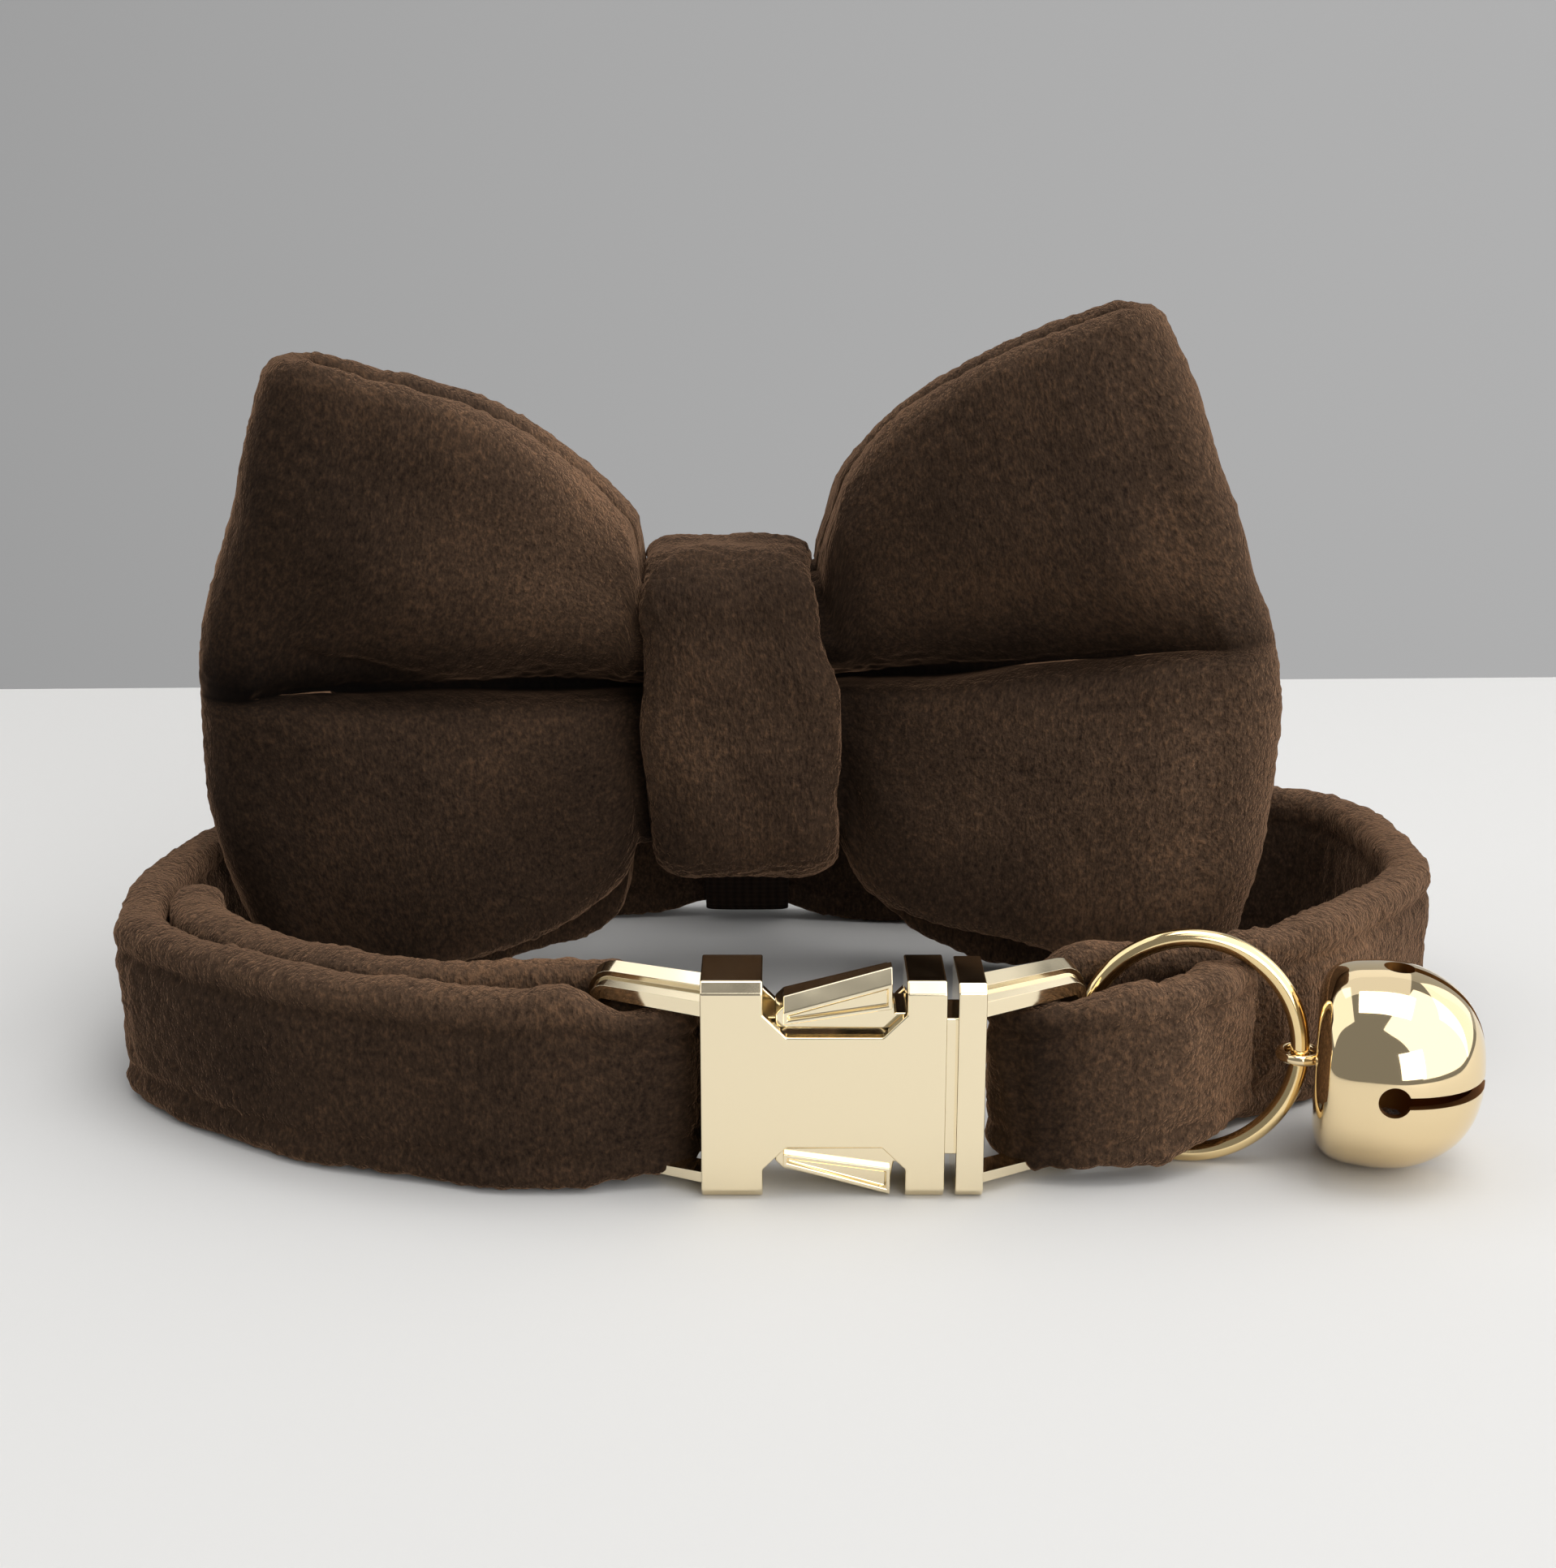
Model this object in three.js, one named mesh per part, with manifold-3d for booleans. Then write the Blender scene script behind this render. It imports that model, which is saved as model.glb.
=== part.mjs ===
// A cat collar with a bow tie, a fastened side-release buckle, a ring and a jingle bell.
// Millimetres, +Z up, +X along the longest side, the buckle faces -Y. The origin is on the
// surface that the collar stands on, under the middle of its bounding box.

import * as THREE from 'three';
import { mergeVertices } from 'three/addons/utils/BufferGeometryUtils.js';
import Module from 'manifold-3d';

const wasm = await Module();
wasm.setup();

// Driving dimensions of the padded band.
const STRAP_HEIGHT = 15;
const STRAP_THICK = 3.7;
const FOLD_HEIGHT = 10.8;
const FOLD_THICK = 2.9;
const STRAP_MIDDLE = 8.1;

// Driving dimensions of the buckle, seen from the front.
const BUCKLE_HEIGHT = 16.4;
const BUCKLE_FRONT = -34;
const BUCKLE_DEPTH = 6.4;
const BUCKLE_BEVEL = 0.45;
const PLATE = 0.9;
const SOCKET_LEFT = -6.5;
const SOCKET_RIGHT = 10.9;
const NOTCH_LEFT = -2.1;
const NOTCH_RIGHT = 8.1;
const NOTCH_DEPTH = 4;
const NOTCH_CHAMFER = 1.7;
const PLUG_LEFT = 11.7;
const PLUG_RIGHT = 13.7;
const FRAME_BAR = 1.9;
const FRAME_DEPTH = 1.8;
const FRAME_LOW = 0.1;
const FRAME_HIGH = 16.15;
const RUNNING_GAP = 0.4;

// Where the two crossbars stand in plan, and where their side bars leave the buckle.
const SOCKET_CROSSBAR = { x: -13.5, y: -28.4 };
const SOCKET_FRAME_ROOT = { x: -5.5, y: -32.1 };
const PLUG_CROSSBAR = { x: 20.9, y: -27.5 };
const PLUG_FRAME_ROOT = { x: 13, y: -32.1 };

// Ring and bell.
const RING_RADIUS = 8.05;
const RING_WIRE = 0.7;
const RING_CENTRE = { x: 29.5, y: -26, z: 8.7 };
const RING_TURN = THREE.MathUtils.degToRad(5);
const RING_LEAN = THREE.MathUtils.degToRad(9);
const BELL_RADIUS = 7.65;
const BELL_LENGTH = 12.2;
const BELL_WALL = 0.7;
const BELL_TURN = THREE.MathUtils.degToRad(13);
const BELL_FLAT = { x: 38.85, y: -26, z: 7.7 };
const BELL_SLOT = 0.9;
const BELL_HOLE = 1.15;
const BELL_HOLE_AT = 5.6;
const SHANK_RADIUS = 1.4;
const SHANK_WIRE = 0.4;
const SHANK_HEIGHT = 8.3;
const BALL_RADIUS = 1.6;

// Bow: the knot's middle, and the clear slit between the front and back layers.
const BOW_X = -4.2;
const BOW_Y = 15.2;
const SLIT = 0.8;
const FOLD_SLIT = 1.2;
const KNOT_SHARE = 0.22;
const KNOT = { depth: 21.5, low: 10.2, high: 40, wall: 2.5 };
const KEEPER = { left: -8, right: 0, wall: 0.9, front: 25.7, back: 33.85, low: 0.15, high: 16.2 };

// Finishes, one material for each mesh.
const FINISH = {
  velvet: { color: 0x4a3a2e, roughness: 0.95, metalness: 0 },
  gold: { color: 0xe9d3a6, roughness: 0.18, metalness: 1 },
  steel: { color: 0xb9b4ab, roughness: 0.3, metalness: 1 },
  elastic: { color: 0x2b211b, roughness: 0.9, metalness: 0 },
};

const group = new THREE.Group();

// Adds one named mesh with its own material.
function addPiece(name, geometry, finish) {
  geometry.computeVertexNormals();
  const mesh = new THREE.Mesh(geometry, new THREE.MeshStandardMaterial(FINISH[finish]));
  mesh.name = name;
  group.add(mesh);
}

// Turns every face round if the closed surface has its faces pointing inwards.
function facingOut(geometry) {
  const p = geometry.getAttribute('position');
  const index = geometry.getIndex();
  const [a, b, c] = [new THREE.Vector3(), new THREE.Vector3(), new THREE.Vector3()];
  let volume = 0;
  for (let i = 0; i < index.count; i += 3) {
    a.fromBufferAttribute(p, index.getX(i));
    b.fromBufferAttribute(p, index.getX(i + 1));
    c.fromBufferAttribute(p, index.getX(i + 2));
    volume += a.dot(b.cross(c));
  }
  if (volume < 0) {
    for (let i = 0; i < index.count; i += 3) {
      const first = index.getX(i);
      index.setX(i, index.getX(i + 1));
      index.setX(i + 1, first);
    }
  }
  return geometry;
}

// Skins a row of equal rings of points: closed on itself, or capped with a fan at each end.
function skin(rings, closed) {
  const size = rings[0].length;
  const positions = rings.flat().flatMap((point) => [point.x, point.y, point.z]);
  const faces = [];
  const spans = closed ? rings.length : rings.length - 1;
  for (let i = 0; i < spans; i += 1) {
    const here = i * size;
    const next = ((i + 1) % rings.length) * size;
    for (let j = 0; j < size; j += 1) {
      const k = (j + 1) % size;
      faces.push(here + j, next + j, next + k);
      faces.push(here + j, next + k, here + k);
    }
  }
  if (!closed) {
    for (const [ring, start, flip] of [[rings[0], 0, false], [rings.at(-1), (rings.length - 1) * size, true]]) {
      const middle = ring.reduce((sum, point) => sum.add(point), new THREE.Vector3()).divideScalar(size);
      const centre = positions.length / 3;
      positions.push(middle.x, middle.y, middle.z);
      for (let j = 0; j < size; j += 1) {
        const k = (j + 1) % size;
        faces.push(centre, start + (flip ? k : j), start + (flip ? j : k));
      }
    }
  }
  const geometry = new THREE.BufferGeometry();
  geometry.setAttribute('position', new THREE.Float32BufferAttribute(positions, 3));
  geometry.setIndex(faces);
  return facingOut(geometry);
}

// A smooth curve through the named columns of a table, read at any row number.
function readTable(rows, columns) {
  const curves = [];
  for (let i = 0; i < columns.length; i += 3) {
    const [first, second, third] = columns.slice(i, i + 3);
    const points = rows.map((row) => new THREE.Vector3(row[first], row[second] ?? 0, row[third] ?? 0));
    curves.push(new THREE.CatmullRomCurve3(points, false, 'centripetal'));
  }
  return (at) => {
    const values = curves.flatMap((curve) => curve.getPoint(at / (rows.length - 1)).toArray());
    return Object.fromEntries(columns.map((name, i) => [name, values[i]]));
  };
}

// Straight-line reading of one column against another, both going up.
function lookUp(rows, key, value, at) {
  const last = rows.length - 1;
  let i = 1;
  while (i < last && rows[i][key] < at) i += 1;
  const [from, to] = [rows[i - 1], rows[i]];
  const share = THREE.MathUtils.clamp((at - from[key]) / (to[key] - from[key]), 0, 1);
  return THREE.MathUtils.lerp(from[value], to[value], share);
}

// A closed solid for cutting and joining.
function solid(geometry) {
  const bare = geometry.clone();
  bare.deleteAttribute('normal');
  bare.deleteAttribute('uv');
  const merged = mergeVertices(bare, 1e-4);
  const vertProperties = new Float32Array(merged.getAttribute('position').array);
  const triVerts = new Uint32Array(merged.getIndex().array);
  return new wasm.Manifold(new wasm.Mesh({ numProp: 3, vertProperties, triVerts }));
}

function geometryOf(manifold) {
  const mesh = manifold.getMesh();
  const geometry = new THREE.BufferGeometry();
  geometry.setAttribute('position', new THREE.Float32BufferAttribute(mesh.vertProperties, 3));
  geometry.setIndex(Array.from(mesh.triVerts));
  return geometry;
}

// A box between two corners.
function boxBetween(low, high) {
  const size = new THREE.Vector3().subVectors(high, low);
  const geometry = new THREE.BoxGeometry(size.x, size.y, size.z);
  const middle = new THREE.Vector3().addVectors(low, high).multiplyScalar(0.5);
  return geometry.translate(middle.x, middle.y, middle.z);
}

// An outline in plan, raised from one height to another.
function raise(outline, low, high) {
  const shape = new THREE.Shape(outline.map(([x, y]) => new THREE.Vector2(x, y)));
  return new THREE.ExtrudeGeometry(shape, { depth: high - low, bevelEnabled: false }).translate(0, 0, low);
}

// An outline seen from the front, x and z, cut through from front to back, with bevelled rims.
function plate(outline, front, depth, bevel) {
  const shape = new THREE.Shape(outline.map(([x, z]) => new THREE.Vector2(x, z)));
  const settings = {
    depth: depth - 2 * bevel,
    bevelEnabled: bevel > 0,
    bevelThickness: bevel,
    bevelSize: bevel,
    bevelOffset: -bevel,
    bevelSegments: 1,
  };
  const geometry = new THREE.ExtrudeGeometry(shape, settings);
  return geometry.rotateX(Math.PI / 2).translate(0, front + depth - bevel, 0);
}

// The padded band. Each row is one place along its middle line, from the sewn end inside the
// left front, round the socket's crossbar, round the whole loop, round the plug's crossbar and
// back over the ring. low and high are its edges, thick its thickness there.
const LOW = 0;
const HIGH = STRAP_HEIGHT;
const FOLD_LOW = STRAP_MIDDLE - FOLD_HEIGHT / 2;
const FOLD_HIGH = STRAP_MIDDLE + FOLD_HEIGHT / 2;
const T = STRAP_THICK;
const F = FOLD_THICK;
const STRAP_ROWS = [
  { x: -48.1, y: -4.6, low: 0.8, high: 14.2, thick: 2.2 },
  { x: -47.9, y: -6.2, low: 0.2, high: 14.8, thick: 3.5 },
  { x: -47.5, y: -9.8, low: LOW, high: HIGH, thick: T },
  { x: -45.7, y: -13.2, low: LOW, high: HIGH, thick: T },
  { x: -43.2, y: -15.9, low: LOW, high: HIGH, thick: T },
  { x: -39.4, y: -19.2, low: LOW, high: HIGH, thick: T },
  { x: -33.3, y: -23, low: LOW, high: HIGH, thick: T },
  { x: -26.8, y: -25, low: LOW, high: HIGH, thick: T },
  { x: -21, y: -25.6, low: LOW, high: HIGH, thick: T },
  { x: -16.4, y: -25.1, low: LOW, high: HIGH, thick: 3.3 },
  { x: -12.7, y: -25.2, low: 0.8, high: 14.8, thick: F },
  { x: -10.2, y: -26.4, low: FOLD_LOW, high: FOLD_HIGH, thick: F },
  { x: -9.7, y: -28.6, low: FOLD_LOW, high: FOLD_HIGH, thick: F },
  { x: -10.8, y: -31.1, low: FOLD_LOW, high: FOLD_HIGH, thick: F },
  { x: -13.2, y: -31.9, low: 0.6, high: FOLD_HIGH, thick: F },
  { x: -16.8, y: -31.9, low: LOW, high: FOLD_HIGH, thick: 3.2 },
  { x: -21, y: -31.4, low: LOW, high: HIGH, thick: T },
  { x: -27.6, y: -29.5, low: LOW, high: HIGH, thick: T },
  { x: -34.8, y: -27.1, low: LOW, high: HIGH, thick: T },
  { x: -41.8, y: -22.6, low: LOW, high: HIGH, thick: T },
  { x: -46.5, y: -19.2, low: LOW, high: HIGH, thick: T },
  { x: -50.3, y: -15.2, low: LOW, high: HIGH, thick: T },
  { x: -51.9, y: -9.8, low: LOW, high: HIGH, thick: T },
  { x: -52.1, y: -4.6, low: LOW, high: HIGH, thick: T },
  { x: -51.9, y: 1.6, low: LOW, high: HIGH, thick: T },
  { x: -49.9, y: 10.3, low: LOW, high: HIGH, thick: T },
  { x: -45.8, y: 17.6, low: LOW, high: HIGH, thick: T },
  { x: -39.1, y: 23.6, low: LOW, high: HIGH, thick: T },
  { x: -30.4, y: 28, low: LOW, high: HIGH, thick: T },
  { x: -20, y: 30.4, low: LOW, high: HIGH, thick: T },
  { x: -12, y: 31.3, low: 0.2, high: HIGH, thick: T },
  { x: -7.5, y: 31.2, low: 1.4, high: 14.1, thick: 3.3 },
  { x: -0.5, y: 30.7, low: 1.4, high: 14.1, thick: 3.3 },
  { x: 4, y: 30.2, low: 0.2, high: HIGH, thick: T },
  { x: 12.7, y: 29, low: LOW, high: HIGH, thick: T },
  { x: 24, y: 27.2, low: LOW, high: HIGH, thick: T },
  { x: 35, y: 25.2, low: LOW, high: HIGH, thick: T },
  { x: 44.4, y: 22.9, low: LOW, high: HIGH, thick: T },
  { x: 50, y: 18.5, low: LOW, high: HIGH, thick: T },
  { x: 52.2, y: 11.8, low: LOW, high: HIGH, thick: T },
  { x: 52.4, y: 5, low: LOW, high: HIGH, thick: T },
  { x: 52, y: 0, low: LOW, high: HIGH, thick: T },
  { x: 48.8, y: -5.2, low: LOW, high: HIGH, thick: T },
  { x: 43.5, y: -11.4, low: LOW, high: HIGH, thick: T },
  { x: 39.2, y: -16, low: LOW, high: HIGH, thick: T },
  { x: 34.5, y: -18.9, low: LOW, high: HIGH, thick: T },
  { x: 29.5, y: -20.4, low: 0.2, high: HIGH, thick: T },
  { x: 24.5, y: -21.4, low: 0.4, high: HIGH, thick: 3.5 },
  { x: 20.8, y: -22.2, low: 0.6, high: HIGH, thick: 3 },
  { x: 18.6, y: -23.3, low: FOLD_LOW, high: FOLD_HIGH, thick: F },
  { x: 17.6, y: -25.4, low: FOLD_LOW, high: FOLD_HIGH, thick: F },
  { x: 17.5, y: -28.5, low: FOLD_LOW, high: FOLD_HIGH, thick: F },
  { x: 19.2, y: -30.3, low: 2.4, high: FOLD_HIGH, thick: F },
  { x: 21.9, y: -30.7, low: 1.1, high: FOLD_HIGH, thick: F },
  { x: 24.4, y: -30.4, low: 1, high: HIGH, thick: 3.2 },
  { x: 27, y: -29.7, low: 1.1, high: HIGH, thick: 3.3 },
  { x: 29.2, y: -28.2, low: 2, high: HIGH, thick: 3.4 },
  { x: 31, y: -26.3, low: 2.4, high: HIGH, thick: 3.5 },
  { x: 33.3, y: -23.8, low: 2.7, high: HIGH, thick: 3.2 },
  { x: 34.7, y: -23.1, low: 3.6, high: 14.2, thick: 2.2 },
];

// The band's cut, bottom to top: share of its height, share of half its thickness. The two
// dips are the lines of topstitching.
const STRAP_CUT = [
  { up: 0, out: 0.6 },
  { up: 0.06, out: 0.92 },
  { up: 0.175, out: 0.74 },
  { up: 0.27, out: 1 },
  { up: 0.5, out: 1 },
  { up: 0.73, out: 1 },
  { up: 0.825, out: 0.74 },
  { up: 0.94, out: 0.92 },
  { up: 1, out: 0.5 },
];

function strap() {
  const at = readTable(STRAP_ROWS, ['x', 'y', 'thick', 'low', 'high']);
  const stepsPerRow = 1.6;
  const steps = Math.round((STRAP_ROWS.length - 1) * stepsPerRow);
  const places = Array.from({ length: steps + 1 }, (_, i) => at((i * (STRAP_ROWS.length - 1)) / steps));
  const rings = places.map((place, i) => {
    const before = places[Math.max(i - 1, 0)];
    const after = places[Math.min(i + 1, steps)];
    const side = new THREE.Vector2(before.y - after.y, after.x - before.x).normalize();
    const corner = (cut, sign) => {
      const offset = sign * cut.out * place.thick * 0.5;
      const z = THREE.MathUtils.lerp(place.low, place.high, cut.up);
      const level = THREE.MathUtils.clamp(z, LOW, HIGH);
      return new THREE.Vector3(place.x + side.x * offset, place.y + side.y * offset, level);
    };
    const up = STRAP_CUT.map((cut) => corner(cut, 1));
    const down = [...STRAP_CUT].reverse().map((cut) => corner(cut, -1));
    return [...up, ...down];
  });
  return skin(rings, false);
}

addPiece('strap', strap(), 'velvet');

// One end frame of the buckle: two side bars that run back past the band's edges, and the
// crossbar that the band folds round.
function buckleFrame(root, crossbar) {
  const along = new THREE.Vector2(crossbar.x - root.x, crossbar.y - root.y).normalize();
  const side = new THREE.Vector2(-along.y, along.x).multiplyScalar(FRAME_DEPTH / 2);
  const tip = new THREE.Vector2(crossbar.x, crossbar.y).addScaledVector(along, FRAME_BAR / 2);
  const heel = new THREE.Vector2(crossbar.x, crossbar.y).addScaledVector(along, -FRAME_BAR / 2);
  const strip = (from) => [
    [from.x + side.x, from.y + side.y],
    [tip.x + side.x, tip.y + side.y],
    [tip.x - side.x, tip.y - side.y],
    [from.x - side.x, from.y - side.y],
  ];
  const bottomBar = solid(raise(strip(root), FRAME_LOW, FRAME_LOW + FRAME_BAR));
  const topBar = solid(raise(strip(root), FRAME_HIGH - FRAME_BAR, FRAME_HIGH));
  return bottomBar.add(topBar).add(solid(raise(strip(heel), FRAME_LOW, FRAME_HIGH)));
}

function mirrored(outline) {
  return outline.map(([x, z]) => [x, BUCKLE_HEIGHT - z]).reverse();
}

// The socket: a beveled block with a chamfered notch in its top and bottom, hollow inside for
// the plug's tongue and arms, and open at its right end.
function socket() {
  const top = BUCKLE_HEIGHT;
  const floor = top - NOTCH_DEPTH;
  const shoulder = floor + NOTCH_CHAMFER;
  const upper = [
    [SOCKET_RIGHT, top],
    [NOTCH_RIGHT, top],
    [NOTCH_RIGHT, shoulder],
    [NOTCH_RIGHT - NOTCH_CHAMFER, floor],
    [NOTCH_LEFT + NOTCH_CHAMFER, floor],
    [NOTCH_LEFT, shoulder],
    [NOTCH_LEFT, top],
    [SOCKET_LEFT, top],
  ];
  const body = solid(plate([...upper, ...mirrored(upper)], BUCKLE_FRONT, BUCKLE_DEPTH, BUCKLE_BEVEL));
  const roof = 2;
  const cavity = boxBetween(
    new THREE.Vector3(NOTCH_LEFT - 1.1, BUCKLE_FRONT + PLATE, roof),
    new THREE.Vector3(SOCKET_RIGHT + 1, BUCKLE_FRONT + BUCKLE_DEPTH - PLATE, top - roof),
  );
  return geometryOf(body.subtract(solid(cavity)).add(buckleFrame(SOCKET_FRAME_ROOT, SOCKET_CROSSBAR)));
}

addPiece('buckle_socket', socket(), 'gold');

// The plug: its end bar, the flat tongue, and two spring arms whose release tabs rise in the
// socket's notches.
function plug() {
  const top = BUCKLE_HEIGHT;
  const bar = [
    [PLUG_LEFT, 0.1],
    [PLUG_RIGHT, 0.1],
    [PLUG_RIGHT, top - 0.1],
    [PLUG_LEFT, top - 0.1],
  ];
  const arm = [
    [-1.2, 12.8],
    [PLUG_LEFT + 0.5, 12.7],
    [PLUG_LEFT + 0.5, 13.9],
    [7.3, 13.9],
    [6.9, 16.3],
    [-0.6, 14.4],
    [-1.2, 13.8],
  ];
  const inner = BUCKLE_FRONT + PLATE + RUNNING_GAP;
  const innerDepth = BUCKLE_DEPTH - 2 * (PLATE + RUNNING_GAP);
  const tongue = boxBetween(
    new THREE.Vector3(NOTCH_LEFT - 0.5, inner, 4.7),
    new THREE.Vector3(PLUG_LEFT + 0.5, inner + innerDepth, top - 4.7),
  );
  const joined = solid(plate(bar, BUCKLE_FRONT, BUCKLE_DEPTH, BUCKLE_BEVEL))
    .add(solid(plate(arm, inner, innerDepth, 0)))
    .add(solid(plate(mirrored(arm), inner, innerDepth, 0)))
    .add(solid(tongue))
    .add(buckleFrame(PLUG_FRAME_ROOT, PLUG_CROSSBAR));
  return geometryOf(joined);
}

addPiece('buckle_plug', plug(), 'gold');

// A round wire ring that stands on edge, its right side turned a little to the front.
function ring() {
  const geometry = new THREE.TorusGeometry(RING_RADIUS, RING_WIRE, 8, 40);
  geometry.rotateX(Math.PI / 2 - RING_LEAN);
  geometry.rotateZ(-RING_TURN);
  return geometry.translate(RING_CENTRE.x, RING_CENTRE.y, RING_CENTRE.z);
}

addPiece('collar_ring', facingOut(mergeVertices(ring().deleteAttribute('normal').deleteAttribute('uv'))), 'gold');

// The bell's outer wall from its flat end to its pole: share of the length, share of the radius.
const BELL_OUTLINE = [
  { along: 0, out: 0.5 },
  { along: 0.03, out: 0.7 },
  { along: 0.1, out: 0.85 },
  { along: 0.24, out: 0.96 },
  { along: 0.44, out: 1 },
  { along: 0.62, out: 0.94 },
  { along: 0.78, out: 0.78 },
  { along: 0.9, out: 0.54 },
  { along: 0.975, out: 0.27 },
];

// A jingle bell, turned about its upright axis and then laid on its side.
function bell() {
  const outer = BELL_OUTLINE.map(({ along, out }) => [out * BELL_RADIUS, along * BELL_LENGTH]);
  const innerLength = BELL_LENGTH - 2 * BELL_WALL;
  const inner = BELL_OUTLINE.map(({ along, out }) => [
    out * (BELL_RADIUS - BELL_WALL),
    BELL_WALL + along * innerLength,
  ]);
  const lathe = (rows, from, to) => {
    const points = [[0, from], ...rows, [0, to]].map(([r, s]) => new THREE.Vector2(r, s));
    return solid(facingOut(mergeVertices(new THREE.LatheGeometry(points, 24)
      .deleteAttribute('normal').deleteAttribute('uv'))));
  };
  let shell = lathe(outer, 0, BELL_LENGTH).subtract(lathe(inner, BELL_WALL, BELL_LENGTH - BELL_WALL));
  for (const turn of [0, Math.PI / 2]) {
    const slot = new THREE.BoxGeometry(BELL_SLOT, BELL_LENGTH, BELL_RADIUS * 4);
    slot.rotateY(turn).translate(0, BELL_HOLE_AT + BELL_LENGTH / 2, 0);
    const hole = new THREE.CylinderGeometry(BELL_HOLE, BELL_HOLE, BELL_RADIUS * 4, 12);
    hole.rotateX(Math.PI / 2).rotateY(turn).translate(0, BELL_HOLE_AT, 0);
    shell = shell.subtract(solid(slot)).subtract(solid(hole));
  }
  const laid = geometryOf(shell);
  laid.rotateZ(-Math.PI / 2 - BELL_TURN);
  laid.translate(BELL_FLAT.x, BELL_FLAT.y, BELL_FLAT.z);
  const shank = new THREE.TorusGeometry(SHANK_RADIUS, SHANK_WIRE, 6, 16);
  const wireX = RING_CENTRE.x + RING_RADIUS * Math.cos(RING_TURN);
  const wireY = RING_CENTRE.y - RING_RADIUS * Math.sin(RING_TURN);
  shank.translate(wireX, wireY, SHANK_HEIGHT);
  return geometryOf(solid(laid).add(solid(shank)));
}

addPiece('bell', bell(), 'gold');

// The pea, at rest on the bell's inner wall.
function ball() {
  const along = BELL_LENGTH * 0.45;
  const x = BELL_FLAT.x + along * Math.cos(BELL_TURN);
  const y = BELL_FLAT.y - along * Math.sin(BELL_TURN);
  const z = BELL_FLAT.z - BELL_RADIUS + BELL_WALL + BALL_RADIUS + 0.2;
  return new THREE.IcosahedronGeometry(BALL_RADIUS, 1).translate(x, y, z);
}

addPiece('bell_ball', facingOut(mergeVertices(ball().deleteAttribute('normal').deleteAttribute('uv'))), 'steel');

// The bow's lobes, from the knot's middle (out 0) to the end fold (out 1): the bottom of the
// front and of the back layer, the crease, the top and the thickness of a layer.
const LEFT_LOBE = {
  reach: [
    { up: -1, x: -45 },
    { up: -0.6, x: -48.1 },
    { up: -0.2, x: -49.4 },
    { up: 0.05, x: -49.4 },
    { up: 0.35, x: -47.9 },
    { up: 0.64, x: -45.6 },
    { up: 1, x: -42.2 },
  ],
  rows: [
    { out: 0, front: 13.4, back: 13.4, crease: 26.4, top: 36.8, thick: 6 },
    { out: 0.25, front: 13.2, back: 13.2, crease: 27, top: 36.8, thick: 6 },
    { out: 0.27, front: 10.4, back: 8.6, crease: 27.1, top: 41.2, thick: 6.4 },
    { out: 0.3, front: 8.9, back: 5.2, crease: 27.2, top: 42.6, thick: 6.8 },
    { out: 0.42, front: 6.6, back: 2.6, crease: 27.6, top: 46.9, thick: 7.4 },
    { out: 0.6, front: 5, back: 2.2, crease: 28.1, top: 51.2, thick: 7.6 },
    { out: 0.8, front: 3.4, back: 2.6, crease: 28.6, top: 54.2, thick: 6.8 },
    { out: 1, front: 4.2, back: 4.2, crease: 29.1, top: 56.4, thick: 4.6 },
  ],
  drop: 12,
  level: -0.2,
  side: -1,
};
const RIGHT_LOBE = {
  reach: [
    { up: -1, x: 39.5 },
    { up: -0.65, x: 41.3 },
    { up: -0.25, x: 42 },
    { up: 0.03, x: 41.5 },
    { up: 0.25, x: 39 },
    { up: 0.5, x: 36.5 },
    { up: 0.8, x: 33.3 },
    { up: 1, x: 30.7 },
  ],
  rows: [
    { out: 0, front: 13.4, back: 13.4, crease: 26.4, top: 36.8, thick: 6 },
    { out: 0.22, front: 13.2, back: 13.2, crease: 27.8, top: 36.8, thick: 6 },
    { out: 0.25, front: 11.4, back: 10.4, crease: 27.9, top: 41.6, thick: 6.3 },
    { out: 0.27, front: 10, back: 8.4, crease: 28, top: 45.2, thick: 6.6 },
    { out: 0.3, front: 8.8, back: 7.2, crease: 28.2, top: 46.8, thick: 6.9 },
    { out: 0.42, front: 7, back: 2.9, crease: 28.8, top: 50.7, thick: 7.4 },
    { out: 0.6, front: 5.4, back: 1.2, crease: 30, top: 54.9, thick: 7.6 },
    { out: 0.8, front: 3.8, back: 2, crease: 31.2, top: 57.9, thick: 6.8 },
    { out: 1, front: 4.2, back: 4.2, crease: 32.4, top: 60.4, thick: 4.6 },
  ],
  drop: 12,
  level: 4.8,
  side: 1,
};

// The crease nearly fades out where the strip turns round at the lobe's end.
const END_CREASE = 0.9;

// One layer's outer face, bottom to top: place between bottom, crease and top, and its share
// of the layer's thickness.
const PUFF = [
  { up: -1, full: 0.4 },
  { up: -0.94, full: 0.68 },
  { up: -0.78, full: 0.9 },
  { up: -0.5, full: 1 },
  { up: -0.2, full: 0.9 },
  { up: -0.06, full: 0.66 },
  { up: 0, full: 0.4 },
  { up: 0.06, full: 0.66 },
  { up: 0.2, full: 0.9 },
  { up: 0.5, full: 1 },
  { up: 0.78, full: 0.9 },
  { up: 0.94, full: 0.68 },
  { up: 1, full: 0.4 },
];

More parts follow.
